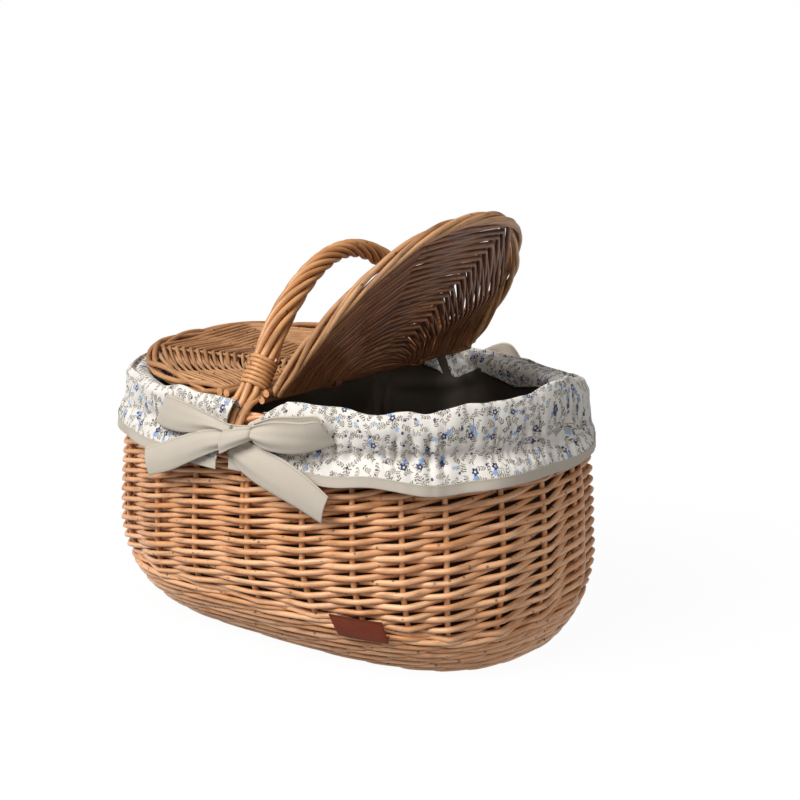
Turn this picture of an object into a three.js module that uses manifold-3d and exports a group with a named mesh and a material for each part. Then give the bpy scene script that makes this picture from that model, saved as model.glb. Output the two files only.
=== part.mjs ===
// An oval willow picnic basket with a roped handle, two hinged half lids and a tied cloth liner.
// Millimetres, +Z up, standing on z = 0. The long axis is X and the handle spans Y.
import * as THREE from "three";
import { mergeVertices } from "three/addons/utils/BufferGeometryUtils.js";
import Module from "manifold-3d";

const wasm = await Module();
wasm.setup();

// Woven body, measured over the weave
const BELLY_LENGTH = 462;
const BELLY_WIDTH = 344;
const BELLY_HEIGHT = 95;
const FOOT_LENGTH = 382;
const FOOT_WIDTH = 208;
const RIM_LENGTH = 428;
const RIM_WIDTH = 324;
const WALL_TOP = 212;
const FOOT_SQUARENESS = 3;
const BODY_SQUARENESS = 2.46;
const FOOT_FLARE = 0.69;
const STAKE_COUNT = 26;
const STAKE_DIAMETER = 6;
const WEAVER_DIAMETER = 4;
const WEAVE_RELIEF = 3;
const BAY_DEPTH = 5.2;
const BAY_THICKNESS = 3;
const WALING_DEPTH = 0.5;
const FOOT_WALE_HEIGHT = 11;
const FOOT_WALE_WIDTH = 12.5;
const BORDER_WIDTH = 16;
const BORDER_HEIGHT = 13;

// Stakes across the front, left to right: share of the girth from the middle of the front, height of the
// middle row at that stake, spacing of the rows there and top of the waling. The rows climb to the right.
const FRONT_STAKES = [
  { share: -0.138, row: 88, spacing: 4.6, waling: 52 },
  { share: -0.081, row: 105, spacing: 4.7, waling: 53 },
  { share: -0.037, row: 117, spacing: 4.7, waling: 54 },
  { share: 0.014, row: 125, spacing: 4.65, waling: 54 },
  { share: 0.061, row: 134, spacing: 5, waling: 54 },
  { share: 0.099, row: 142, spacing: 5.15, waling: 51 },
  { share: 0.133, row: 149, spacing: 5.4, waling: 45 },
  { share: 0.163, row: 155, spacing: 5.45, waling: 40 },
  { share: 0.205, row: 163, spacing: 5.5, waling: 40 },
  { share: 0.246, row: 166, spacing: 5.3, waling: 42 },
  { share: 0.288, row: 174, spacing: 5.05, waling: 44 },
  { share: 0.328, row: 180, spacing: 4.85, waling: 46 },
];

// Base panel
const BASE_THICKNESS = 10;
const BASE_GROUND_GAP = 4;
const LONG_STICK_DIAMETER = 6;
const LONG_STICK_SPACING = 30;
const CROSS_STICK_DIAMETER = 9;
const CROSS_STICK_SPACING = 90;

// Handle
const HANDLE_TOP = 355.4;
const HANDLE_CORE_DIAMETER = 10;
const HANDLE_ROD_DIAMETER = 6;
const HANDLE_ROD_COUNT = 7;
const HANDLE_HALF_TWIST = 7.5;
const HANDLE_TOP_SLIM = 0.74;
const HANDLE_PEAK = 0.9;
const HANDLE_SKEW = 0.06;
const BINDING_DIAMETER = 3.6;
const BINDING_PITCH = 4.4;
const BINDING_TURNS = 8;
const BINDING_START = 19;

// Hinge and lids
const HINGE_REACH = 21;
const HINGE_STICK_DIAMETER = 7;
const HINGE_BAR_DIAMETER = 12;
const LOOP_THICKNESS = 2.4;
const LOOP_WIDTH = 6;
const LOOP_SPACING = 120;
const LOOP_STAGGER = 20;
const LID_LENGTH = 193;
const LID_WIDTH = 284;
const LID_SQUARENESS = 2.4;
const LID_BORDER_DIAMETER = 12;
const LID_PANEL_THICKNESS = 9;
const LID_BAY_THICKNESS = 4.4;
const LID_RELIEF = 0.8;
const EDGE_STICK_SPACING = 11;
const RIB_COUNT = 4;
const RIB_DIAMETER = 4;
const RIB_FAN_START = 0.26;
const RIGHT_LID_OPENING = THREE.MathUtils.degToRad(52);

// Cloth
const CLOTH_THICKNESS = 2;
const CLOTH_EASE = 1.2;
const SKIRT_SEAM_DEPTH = 12;
const SKIRT_CREST_RISE = 7;
const SKIRT_DROP = 31;
const SKIRT_SPREAD = 10;
const ELASTIC_DEPTH = 20;
const ELASTIC_SPREAD = 3.2;
const HEM_HEIGHT = 11.5;
const HEM_SPREAD = 2;
const FOLD_COUNT = 14;
const FOLD_DEPTH = 2.6;
const SLIT_TOP = 50;
const SLIT_BOTTOM = 14;
const RIBBON_WIDTH = 37;
const RIBBON_THICKNESS = 1.6;
const KNOT_WIDTH = 24;
const KNOT_DEPTH = 18;
const BOW_SHIFT = 22;
const LEFT_LOOP = { length: 76, rise: 8 };
const RIGHT_LOOP = { length: 92, rise: 13 };
const LEFT_TAIL = { length: 100, drop: 26 };
const RIGHT_TAIL = { length: 96, drop: 30 };
const TAIL_TUCK = 2.4;

// Leather tag
const TAG_LENGTH = 51;
const TAG_HEIGHT = 22;
const TAG_THICKNESS = 2;
const TAG_CENTRE_HEIGHT = 49;
const TAG_SHARE = 0.0955;
const TAG_TILT = 0.04;

// Gap kept between pieces that touch
const GAP = 0.4;

// Measures that follow from the ones above
const WALL_SKIN = 1;
const stakeRadius = STAKE_DIAMETER / 2;
const stakeInset = WEAVER_DIAMETER + WALL_SKIN + GAP + stakeRadius;
const linerInset = stakeInset + stakeRadius + GAP + 0.6;
const borderBottom = WALL_TOP + GAP;
const borderTop = borderBottom + BORDER_HEIGHT;
const borderMiddle = (borderBottom + borderTop) / 2;
const wallBottom = FOOT_WALE_HEIGHT + GAP;
const baseTop = BASE_GROUND_GAP + BASE_THICKNESS;
const baseInset = FOOT_WALE_WIDTH + GAP + 0.5;
const clothTop = borderTop + GAP + CLOTH_THICKNESS;
const hingeHeight = clothTop + GAP + LID_BORDER_DIAMETER / 2 + 0.5;
const seamHeight = WALL_TOP - SKIRT_SEAM_DEPTH;
const skirtBottom = borderTop - SKIRT_DROP;
const coreRadius = HANDLE_CORE_DIAMETER / 2;
const rodRadius = HANDLE_ROD_DIAMETER / 2;
const bundleRadius = coreRadius + GAP + rodRadius;
const bindingRadius = bundleRadius + rodRadius + GAP + BINDING_DIAMETER / 2;
const COLUMNS = 2 * STAKE_COUNT;

const point = (x, y, z) => new THREE.Vector3(x, y, z);
const blend = THREE.MathUtils.lerp;

// Closed surface from points and triangles, faced outwards
function surface(points, faces) {
  let volume = 0;
  for (let i = 0; i < faces.length; i += 3) {
    const [a, b, c] = [points[faces[i]], points[faces[i + 1]], points[faces[i + 2]]];
    volume += a.dot(b.clone().cross(c));
  }
  const geometry = new THREE.BufferGeometry().setFromPoints(points);
  return geometry.setIndex(volume < 0 ? faces.toReversed() : faces);
}

// Skin over rings of equally many points. A closed path joins its last ring to its first; an open one is
// capped, with a fan round the ring's centre or, for a ring folded into a thin band, with rungs across it.
function loft(rings, { closed = false, band = false } = {}) {
  const across = rings[0].length;
  const points = rings.flat();
  const faces = [];
  for (let i = 0; i < rings.length - (closed ? 0 : 1); i++) {
    const here = i * across;
    const next = ((i + 1) % rings.length) * across;
    for (let j = 0; j < across; j++) {
      const k = (j + 1) % across;
      faces.push(here + j, here + k, next + k, here + j, next + k, next + j);
    }
  }
  const cap = (start, flip) => {
    const put = (a, b, c) => faces.push(...(flip ? [a, c, b] : [a, b, c]));
    if (band) {
      for (let j = 0; j < across / 2 - 1; j++) {
        const far = across - 1 - j;
        put(start + j, start + j + 1, start + far);
        put(start + j + 1, start + far - 1, start + far);
      }
      return;
    }
    const centre = points.length;
    const middle = point(0, 0, 0);
    points.slice(start, start + across).forEach((p) => middle.addScaledVector(p, 1 / across));
    points.push(middle);
    for (let j = 0; j < across; j++) {
      put(centre, start + j, start + ((j + 1) % across));
    }
  };
  if (!closed) {
    cap(0, true);
    cap((rings.length - 1) * across, false);
  }
  return surface(points, faces);
}

// Rings of a round rod along a path. Each side vector fixes where its ring's first point lies.
function rodRings(path, sides, radius, facets) {
  return path.map((centre, i) => {
    const before = path[Math.max(i - 1, 0)];
    const after = path[Math.min(i + 1, path.length - 1)];
    const along = after.clone().sub(before).normalize();
    const side = sides[i].clone().addScaledVector(along, -along.dot(sides[i])).normalize();
    const other = along.clone().cross(side);
    const size = typeof radius === "number" ? radius : radius[i];
    return Array.from({ length: facets }, (_, j) => {
      const turn = (2 * Math.PI * j) / facets;
      return centre
        .clone()
        .addScaledVector(side, size * Math.cos(turn))
        .addScaledVector(other, size * Math.sin(turn));
    });
  });
}

// Straight round stick between two points
function stick(start, end, diameter, facets = 8) {
  const along = end.clone().sub(start);
  const shape = new THREE.CylinderGeometry(diameter / 2, diameter / 2, along.length(), facets);
  const turn = new THREE.Quaternion().setFromUnitVectors(point(0, 1, 0), along.clone().normalize());
  shape.applyQuaternion(turn);
  const middle = start.clone().add(end).multiplyScalar(0.5);
  return shape.translate(middle.x, middle.y, middle.z);
}

// Solids for joining and cutting
function solid(geometry) {
  const plain = geometry.index ? geometry.toNonIndexed() : geometry;
  const bare = new THREE.BufferGeometry().setAttribute("position", plain.getAttribute("position"));
  const merged = mergeVertices(bare, 1e-4);
  return new wasm.Manifold(
    new wasm.Mesh({
      numProp: 3,
      vertProperties: merged.attributes.position.array,
      triVerts: new Uint32Array(merged.index.array),
    }),
  );
}

function geometryOf(body) {
  const mesh = body.getMesh();
  const points = new THREE.BufferAttribute(new Float32Array(mesh.vertProperties), 3);
  const faces = new THREE.BufferAttribute(new Uint32Array(mesh.triVerts), 1);
  return new THREE.BufferGeometry().setAttribute("position", points).setIndex(faces);
}

const cut = (geometry, ...tools) =>
  geometryOf(tools.reduce((body, tool) => body.subtract(solid(tool)), solid(geometry)));

const willow = new THREE.MeshStandardMaterial({ color: 0xc08a58, roughness: 0.45, metalness: 0 });
const paleCane = new THREE.MeshStandardMaterial({ color: 0xd9a777, roughness: 0.4, metalness: 0 });
const plainCloth = new THREE.MeshStandardMaterial({ color: 0xbdb5a5, roughness: 0.9, metalness: 0 });
const printedCloth = new THREE.MeshStandardMaterial({ color: 0xefece8, roughness: 0.9, metalness: 0 });
const leather = new THREE.MeshStandardMaterial({ color: 0x7f4128, roughness: 0.6, metalness: 0 });

const basket = new THREE.Group();
basket.name = "picnic_basket";
function add(name, geometry, material, parent = basket) {
  const mesh = new THREE.Mesh(geometry, material);
  mesh.name = name;
  parent.add(mesh);
}

// Outline of the body
function oval(halfLength, halfWidth, squareness, angle) {
  const power = 2 / squareness;
  const c = Math.cos(angle);
  const s = Math.sin(angle);
  return new THREE.Vector2(
    halfLength * Math.sign(c) * Math.abs(c) ** power,
    halfWidth * Math.sign(s) * Math.abs(s) ** power,
  );
}

function bodyAt(height) {
  const z = THREE.MathUtils.clamp(height, 0, borderTop);
  if (z < BELLY_HEIGHT) {
    const swell = Math.sin((Math.PI / 2) * (z / BELLY_HEIGHT)) ** FOOT_FLARE;
    return {
      halfLength: blend(FOOT_LENGTH, BELLY_LENGTH, swell) / 2,
      halfWidth: blend(FOOT_WIDTH, BELLY_WIDTH, swell) / 2,
      squareness: blend(FOOT_SQUARENESS, BODY_SQUARENESS, z / BELLY_HEIGHT),
    };
  }
  const taper = ((z - BELLY_HEIGHT) / (borderTop - BELLY_HEIGHT)) ** 2;
  return {
    halfLength: blend(BELLY_LENGTH, RIM_LENGTH, taper) / 2,
    halfWidth: blend(BELLY_WIDTH, RIM_WIDTH, taper) / 2,
    squareness: BODY_SQUARENESS,
  };
}

// Even steps round the belly, from the middle of the front towards +X, as angles of the oval
const ROUND_STEPS = 1440;
const roundTable = [0];
const roundAngle = (step) => (2 * Math.PI * step) / ROUND_STEPS - Math.PI / 2;
const bellyAt = (step) =>
  oval(BELLY_LENGTH / 2, BELLY_WIDTH / 2, BODY_SQUARENESS, roundAngle(step));
for (let step = 1; step <= ROUND_STEPS; step++) {
  roundTable.push(roundTable[step - 1] + bellyAt(step).distanceTo(bellyAt(step - 1)));
}
const girth = roundTable[ROUND_STEPS];

function turnAt(share) {
  const wanted = (share - Math.floor(share)) * girth;
  const step = Math.max(1, roundTable.findIndex((length) => length >= wanted));
  const part = (wanted - roundTable[step - 1]) / (roundTable[step] - roundTable[step - 1]);
  return roundAngle(step - 1 + part);
}

// Point a share of the way round, at a height, an offset outside the weave
function wallPoint(share, height, offset) {
  const body = bodyAt(height);
  const flat = oval(
    body.halfLength + offset,
    body.halfWidth + offset,
    body.squareness,
    turnAt(share),
  );
  return point(flat.x, flat.y, height);
}

// Heights where the wall, the stakes and the liner bend together
const stakeFoot = wallBottom + stakeRadius + GAP;
const bendHeights = [0, 0.11, 0.4, 0.74].map((level) => blend(stakeFoot, WALL_TOP, level));
const heightsBetween = (bottom, top) => [
  bottom,
  ...bendHeights.filter((height) => height > bottom + 2 && height < top - 2),
  top,
];

const around = (count, make) => Array.from({ length: count }, (_, i) => make(i / count, i));
const ringAt = (height, offset) => around(COLUMNS, (share) => wallPoint(share, height, offset));

// Base: cross sticks pierced by the long sticks, woven over on top
const stickHeight = BASE_GROUND_GAP + CROSS_STICK_DIAMETER / 4;
const baseFloor = bodyAt(BASE_GROUND_GAP);
const baseReach = (place, along, across) =>
  along * (1 - (Math.abs(place) / across) ** FOOT_SQUARENESS) ** (1 / FOOT_SQUARENESS);
const STICK_END = 10;
const longSticks = [-1, 0, 1].map((i) => {
  const y = i * LONG_STICK_SPACING;
  const reach =
    baseReach(y, baseFloor.halfLength - baseInset, baseFloor.halfWidth - baseInset) - STICK_END;
  const made = (extra) =>
    stick(point(-reach, y, stickHeight), point(reach, y, stickHeight), LONG_STICK_DIAMETER + extra);
  return { rod: made(0), bore: made(2 * GAP) };
});
const crossSticks = [-1, 0, 1].map((i) => {
  const x = i * CROSS_STICK_SPACING;
  const reach =
    baseReach(x, baseFloor.halfWidth - baseInset, baseFloor.halfLength - baseInset) - STICK_END;
  const made = (extra) =>
    stick(point(x, -reach, stickHeight), point(x, reach, stickHeight), CROSS_STICK_DIAMETER + extra);
  return { rod: made(0), bore: made(2 * GAP) };
});
const basePanel = loft([ringAt(BASE_GROUND_GAP, -baseInset), ringAt(baseTop, -baseInset)]);
const baseBores = [...longSticks, ...crossSticks].map((one) => one.bore);
add("base_weave", cut(basePanel, ...baseBores), willow);
longSticks.forEach((one, i) => add("base_long_stick_" + (i + 1), one.rod, willow));
crossSticks.forEach((one, i) => {
  const pierced = cut(one.rod, ...longSticks.map((other) => other.bore));
  add("base_cross_stick_" + (i + 1), pierced, willow);
});

// Foot wale, flat on the ground
const footSection = [
  [-0.26 * FOOT_WALE_WIDTH, 0],
  [0, 0.36 * FOOT_WALE_HEIGHT],
  [0, 0.78 * FOOT_WALE_HEIGHT],
  [-0.2 * FOOT_WALE_WIDTH, FOOT_WALE_HEIGHT],
  [-0.96 * FOOT_WALE_WIDTH, FOOT_WALE_HEIGHT],
  [-FOOT_WALE_WIDTH, 0.36 * FOOT_WALE_HEIGHT],
  [-0.84 * FOOT_WALE_WIDTH, 0],
];
const footRings = around(COLUMNS, (share) =>
  footSection.map(([offset, height]) => wallPoint(share, height, offset)),
);
add("foot_wale", loft(footRings, { closed: true }), willow);

// Stakes as they were set: by eye across the front, evenly round the back
const frontCount = FRONT_STAKES.length;
const stakes = Array.from({ length: STAKE_COUNT }, (_, i) => {
  if (i < frontCount) return FRONT_STAKES[i];
  const last = FRONT_STAKES[frontCount - 1];
  const first = FRONT_STAKES[0];
  const back = (i + 1 - frontCount) / (STAKE_COUNT + 1 - frontCount);
  return {
    share: blend(last.share, first.share + 1, back),
    row: blend(last.row, first.row, back),
    spacing: blend(last.spacing, first.spacing, back),
    waling: blend(last.waling, first.waling, back),
  };
});

// Rows that every stake has room for, from its waling up
const firstRow = (stake) => Math.ceil((stake.waling - stake.row) / stake.spacing);
const rowHeight = (stake, k) => stake.row + stake.spacing * (firstRow(stake) + k);
const rowCount = Math.min(
  ...stakes.map((stake) => Math.floor((WALL_TOP - rowHeight(stake, 0)) / stake.spacing)),
);

// Woven wall: at a stake the rows pass in front and behind by turns, in the bays they run straight across,
// and where the handle's core goes down inside they bear on it
const weaveDepth = stakeInset - stakeRadius - 2.4 * GAP;
const handleFeet = [0, 0.5, 1];
const WALING_EDGE = 2;
function rowLevels(stake, depthOf) {
  return [
    { height: wallBottom, depth: WALING_DEPTH },
    { height: stake.waling - WALING_EDGE, depth: WALING_DEPTH },
    ...Array.from({ length: rowCount }, (_, k) => ({ height: rowHeight(stake, k), depth: depthOf(k) })),
    { height: WALL_TOP, depth: WEAVE_RELIEF / 2 },
  ];
}
const wallColumns = stakes.flatMap((stake, i) => {
  const next = stakes[(i + 1) % STAKE_COUNT];
  const end = next.share < stake.share ? next.share + 1 : next.share;
  const foot = handleFeet.find((share) => share > stake.share + 1 / girth && share < end - 1 / girth);
  const onStake = (height, depth) => wallPoint(stake.share, height, -depth);
  const inBay = (height, depth) => onStake(height, depth).lerp(wallPoint(end, height, -depth), 0.5);
  const onFoot = (height, depth) => wallPoint(foot, height, -depth);
  const bayDepth = foot === undefined ? BAY_DEPTH : WEAVE_RELIEF;
  const across = rowLevels(next, () => bayDepth);
  return [
    {
      at: onStake,
      levels: rowLevels(stake, (k) => ((i + firstRow(stake) + k) % 2 === 0 ? 0 : WEAVE_RELIEF)),
      hollow: weaveDepth,
    },
    {
      at: foot === undefined ? inBay : onFoot,
      levels: rowLevels(stake, () => bayDepth).map(({ height, depth }, k) => ({
        height: (height + across[k].height) / 2,
        depth,
      })),
      hollow: foot === undefined ? BAY_DEPTH + BAY_THICKNESS : weaveDepth,
    },
  ];
});
const wallRings = wallColumns[0].levels.map((_, k) =>
  wallColumns.map(({ at, levels }) => at(levels[k].height, levels[k].depth)),
);
const walingHollow = (height) => (height < bendHeights[1] ? weaveDepth - 1.5 * GAP : weaveDepth);
const wallHollow = heightsBetween(wallBottom - 1, WALL_TOP + 1).map((height) =>
  wallColumns.map(({ at, hollow }) => at(height, height > bendHeights[1] ? hollow : walingHollow(height))),
);
add("woven_wall", cut(loft(wallRings), loft(wallHollow)), willow);

// Handle: a core bow whose slyped ends go down two of the stake hollows, with its top a little to the front
const footSpan = bodyAt(borderMiddle).halfWidth - stakeInset;
const archTop = HANDLE_TOP - HANDLE_TOP_SLIM * (bundleRadius + rodRadius);
const archRise = archTop - borderMiddle;
const archScale = Math.sqrt(1 + HANDLE_PEAK ** 2) - 1;
const archPoint = (s) =>
  point(
    0,
    footSpan * (s - HANDLE_SKEW * (1 - s * s)),
    archTop - (archRise * (Math.sqrt(1 + (HANDLE_PEAK * s) ** 2) - 1)) / archScale,
  );
const archSlope = (s) =>
  -(archRise * HANDLE_PEAK ** 2 * s) / (archScale * Math.sqrt(1 + (HANDLE_PEAK * s) ** 2));
const archNormal = (s) =>
  point(0, -archSlope(s), footSpan * (1 + 2 * HANDLE_SKEW * s)).normalize();
const legLength = Math.hypot(footSpan, archSlope(1));

const ARCH_STEPS = 24;
const archSteps = Array.from({ length: ARCH_STEPS + 1 }, (_, i) => -1 + (2 * i) / ARCH_STEPS);
const footLeg = (side) =>
  heightsBetween(bendHeights[1], WALL_TOP).map((height) =>
    point(0, side * (bodyAt(height).halfWidth - stakeInset), height),
  );
const corePath = [...footLeg(-1), ...archSteps.map(archPoint), ...footLeg(1).reverse()];
const slimness = (s) =>
  blend(HANDLE_TOP_SLIM, 1, THREE.MathUtils.smoothstep(Math.abs(s), 0, 0.7));
const legRadii = footLeg(1).map(() => stakeRadius);
const bowRadii = archSteps.map((s) =>
  archPoint(s).z > borderTop ? coreRadius * slimness(s) : stakeRadius,
);
const coreRadii = [...legRadii, ...bowRadii, ...legRadii];
const coreSides = corePath.map(() => point(1, 0, 0));
const coreAt = (extra) =>
  loft(
    rodRings(
      corePath,
      coreSides,
      coreRadii.map((radius) => radius + extra),
      6,
    ),
  );
add("handle_core", coreAt(0), willow);

// Stakes, turned down at the top into the border
const BORDER_FACETS = 6;
const borderSection = Array.from({ length: BORDER_FACETS }, (_, i) => {
  const turn = (2 * Math.PI * i) / BORDER_FACETS;
  return [
    -stakeInset + (BORDER_WIDTH / 2) * Math.cos(turn),
    borderMiddle + (BORDER_HEIGHT / 2) * Math.sin(turn),
  ];
});
const border = loft(
  around(COLUMNS, (share) =>
    borderSection.map(([offset, height]) => {
      const p = wallPoint(share, borderMiddle, offset);
      return p.setZ(height);
    }),
  ),
  { closed: true },
);
let stakesAndBorder = solid(border);
const taken = (share) =>
  handleFeet.some((foot) => Math.abs(foot - share) * girth < 2 * stakeRadius + 3 * GAP);
for (const { share } of stakes.filter((stake) => !taken(stake.share))) {
  const path = heightsBetween(stakeFoot, borderMiddle).map((height) =>
    wallPoint(share, height, -stakeInset),
  );
  const sides = path.map((p) => point(p.x, p.y, 0).normalize());
  stakesAndBorder = stakesAndBorder.add(solid(loft(rodRings(path, sides, stakeRadius, 4))));
}
add("stakes_and_border", geometryOf(stakesAndBorder.subtract(solid(coreAt(GAP)))), willow);

// Roping rods, twisted round the core and running out at the border
const ROD_STEPS = 22;
const borderReach = Math.hypot(BORDER_WIDTH, BORDER_HEIGHT) / 2;
const rodTurn = (i, s) =>
  (2 * Math.PI * i) / HANDLE_ROD_COUNT - HANDLE_HALF_TWIST * Math.sin((Math.PI / 2) * s);
const bundleOut = (s, turn) =>
  point(Math.cos(turn), 0, 0).addScaledVector(archNormal(s), Math.sin(turn));
const rodEnd = (i, side) => {
  const rise = bundleRadius * Math.sin(rodTurn(i, side));
  const clear = borderReach + rodRadius;
  return side * (1 - Math.sqrt(Math.max(clear ** 2 - rise ** 2, 0)) / legLength);
};
for (let i = 0; i < HANDLE_ROD_COUNT; i++) {
  const path = [];
  const sides = [];
  const radii = [];
  for (let step = 0; step <= ROD_STEPS; step++) {
    const s = blend(rodEnd(i, -1), rodEnd(i, 1), step / ROD_STEPS);
    const out = bundleOut(s, rodTurn(i, s));
    path.push(archPoint(s).addScaledVector(out, bundleRadius * slimness(s)));
    sides.push(out);
    radii.push((rodRadius - 0.15) * slimness(s));
  }
  add("handle_rod_" + (i + 1), loft(rodRings(path, sides, radii, 5)), paleCane);
}

// Cane binding on each leg, one unbroken winding with straight ends
const BINDING_STEPS = 10;
function bindingPath(side) {
  const steps = BINDING_TURNS * BINDING_STEPS;
  const path = [];
  for (let step = 0; step <= steps; step++) {
    const fromFoot = BINDING_START + (BINDING_PITCH * step) / BINDING_STEPS;
    const s = side * (1 - fromFoot / legLength);
    const out = bundleOut(s, (2 * Math.PI * step) / BINDING_STEPS);
    path.push(archPoint(s).addScaledVector(out, bindingRadius));
  }
  const straight = (end, inner) =>
    end.clone().add(end.clone().sub(inner).setLength(BINDING_DIAMETER));
  return [straight(path[0], path[1]), ...path, straight(path[steps], path[steps - 1])];
}
function leastGap(path, diameter, skip) {
  let least = Infinity;
  path.forEach((p, i) =>
    path.slice(i + skip).forEach((q) => {
      least = Math.min(least, p.distanceTo(q) - diameter);
    }),
  );
  return least;
}
for (const [place, side] of [
  ["front", -1],
  ["back", 1],
]) {
  const path = bindingPath(side);
  const axisPoints = path.map((p) => archPoint(p.y / footSpan));
  const sides = path.map((p, i) => p.clone().sub(axisPoints[i]).normalize());
  const winding = loft(rodRings(path, sides, BINDING_DIAMETER / 2, 5));
  add("handle_binding_" + place, winding, paleCane);
  const gap = leastGap(path, BINDING_DIAMETER, BINDING_STEPS / 2);
  console.log("handle_binding_" + place + " least gap to itself " + gap.toFixed(2) + " mm");
}

// Hinge bar between the bound legs, and the loops that hold each lid's hinge stick to it
const barTop = hingeHeight + HINGE_BAR_DIAMETER / 2;
const legAtBar = 1 - (borderMiddle - barTop) / archSlope(1);
const barReach = footSpan * (legAtBar - HANDLE_SKEW * (1 - legAtBar ** 2));
const barHalf = barReach - (bindingRadius + BINDING_DIAMETER / 2) / archNormal(1).y;
add(
  "hinge_bar",
  stick(point(0, -barHalf, hingeHeight), point(0, barHalf, hingeHeight), HINGE_BAR_DIAMETER, 12),
  willow,
);
function pulleyOutline(shape, nearRadius, farRadius) {
  const lean = Math.acos((nearRadius - farRadius) / HINGE_REACH);
  shape.absarc(0, 0, nearRadius, lean, 2 * Math.PI - lean, false);
  shape.absarc(HINGE_REACH, 0, farRadius, -lean, lean, false);
  shape.closePath();
  return shape;
}
function hingeLoop() {
  const barRadius = HINGE_BAR_DIAMETER / 2 + GAP;
  const pinRadius = HINGE_STICK_DIAMETER / 2 + GAP;
  const shape = pulleyOutline(
    new THREE.Shape(),
    barRadius + LOOP_THICKNESS,
    pinRadius + LOOP_THICKNESS,
  );
  shape.holes.push(pulleyOutline(new THREE.Path(), barRadius, pinRadius));
  const loop = new THREE.ExtrudeGeometry(shape, {
    depth: LOOP_WIDTH,
    bevelEnabled: false,
    curveSegments: 5,
  });
  return loop.translate(0, 0, -LOOP_WIDTH / 2).rotateX(Math.PI / 2);
}
for (const [lid, turn, stagger] of [
  ["left", Math.PI, -LOOP_STAGGER / 2],
  ["right", 0, LOOP_STAGGER / 2],
]) {
  for (const [place, side] of [
    ["front", -1],
    ["back", 1],
  ]) {
    const loop = hingeLoop().rotateZ(turn);
    loop.translate(0, side * (LOOP_SPACING / 2 + stagger), hingeHeight);
    add("hinge_loop_" + lid + "_" + place, loop, paleCane);
  }
}

// Half lids, made flat with the hinge axis on Y, then set on their hinges
const lidOutline = (inset, angle) =>
  oval(LID_LENGTH - inset, LID_WIDTH / 2 - inset, LID_SQUARENESS, angle);
const lidAngleAt = (reach, inset) =>
  Math.acos((reach / (LID_LENGTH - inset)) ** (LID_SQUARENESS / 2));
const panelStart = EDGE_STICK_SPACING + HINGE_STICK_DIAMETER / 2 + GAP;
const PANEL_COLUMNS = 4 * RIB_COUNT;
const PANEL_ROWS = 6;
const panelInset = LID_BORDER_DIAMETER + GAP;
const panelEnd = lidAngleAt(panelStart, panelInset);
function panelPoint(share, f) {
  const edge = lidOutline(panelInset, blend(-panelEnd, panelEnd, share));
  const fan = (2 * share - 1) * RIB_FAN_START * (LID_WIDTH / 2 - panelInset);
  return point(blend(panelStart, edge.x, f), blend(fan, edge.y, f), 0);
}
const ribShare = (i) => (i + 0.5) / RIB_COUNT;
function lidPanel() {
  const rings = [];
  for (let column = 0; column <= PANEL_COLUMNS; column++) {
    const fromRib = Math.abs((column % 4) - 2) / 2;
    const thickness = blend(LID_PANEL_THICKNESS, LID_BAY_THICKNESS, fromRib);
    const top = [];
    const bottom = [];
    for (let row = 0; row <= PANEL_ROWS; row++) {
      const over = (row + (column - 2) / 4) % 2 === 0;
      const lift = fromRib > 0 ? 0 : over ? LID_RELIEF : -LID_RELIEF;
      const p = panelPoint(column / PANEL_COLUMNS, row / PANEL_ROWS);
      top.push(p.clone().setZ(thickness / 2 + lift));
      bottom.unshift(p.clone().setZ(-thickness / 2 + lift));
    }
    rings.push([...top, ...bottom]);
  }
  return loft(rings, { band: true });
}
function lidBorder() {
  const radius = LID_BORDER_DIAMETER / 2;
  const end = lidAngleAt(panelStart, radius);
  const steps = 20;
  const path = Array.from({ length: steps + 1 }, (_, i) => {
    const flat = lidOutline(radius, blend(-end, end, i / steps));
    return point(flat.x, flat.y, 0);
  });
  return loft(
    rodRings(
      path,
      path.map(() => point(0, 0, 1)),
      radius,
      6,
    ),
  );
}
for (const [side, turn] of [
  ["left", new THREE.Euler(0, 0, Math.PI)],
  ["right", new THREE.Euler(0, -RIGHT_LID_OPENING, 0)],
]) {
  const lid = new THREE.Group();
  const reach = side === "left" ? -HINGE_REACH : HINGE_REACH;
  lid.position.set(reach, 0, hingeHeight);
  lid.rotation.copy(turn);
  basket.add(lid);
  const half = LID_WIDTH / 2;
  add(
    side + "_lid_hinge_stick",
    stick(point(0, -half, 0), point(0, half, 0), HINGE_STICK_DIAMETER, 12),
    willow,
    lid,
  );
  const edgeStick = stick(
    point(EDGE_STICK_SPACING, -half, 0),
    point(EDGE_STICK_SPACING, half, 0),
    HINGE_STICK_DIAMETER,
  );
  const ribs = Array.from({ length: RIB_COUNT }, (_, i) => {
    const end = panelPoint(ribShare(i), 1);
    const along = end.clone().sub(panelPoint(ribShare(i), 0)).normalize();
    const slant = (RIB_DIAMETER / 2) * Math.abs(along.y);
    const seat = HINGE_STICK_DIAMETER / 2 + GAP + slant;
    const start = end.clone().addScaledVector(along, (seat - end.x) / along.x);
    const past = end.clone().addScaledVector(along, RIB_DIAMETER);
    return {
      rod: stick(start, end, RIB_DIAMETER, 6),
      bore: stick(start, past, RIB_DIAMETER + 2 * GAP, 6),
    };
  });
  const bores = ribs.map((rib) => rib.bore);
  add(side + "_lid_edge_stick", cut(edgeStick, ...bores), willow, lid);
  ribs.forEach((rib, i) => add(side + "_lid_rib_" + (i + 1), rib.rod, willow, lid));
  add(side + "_lid_weave", cut(lidPanel(), ...bores), willow, lid);
  add(side + "_lid_border", lidBorder(), willow, lid);
}

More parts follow.
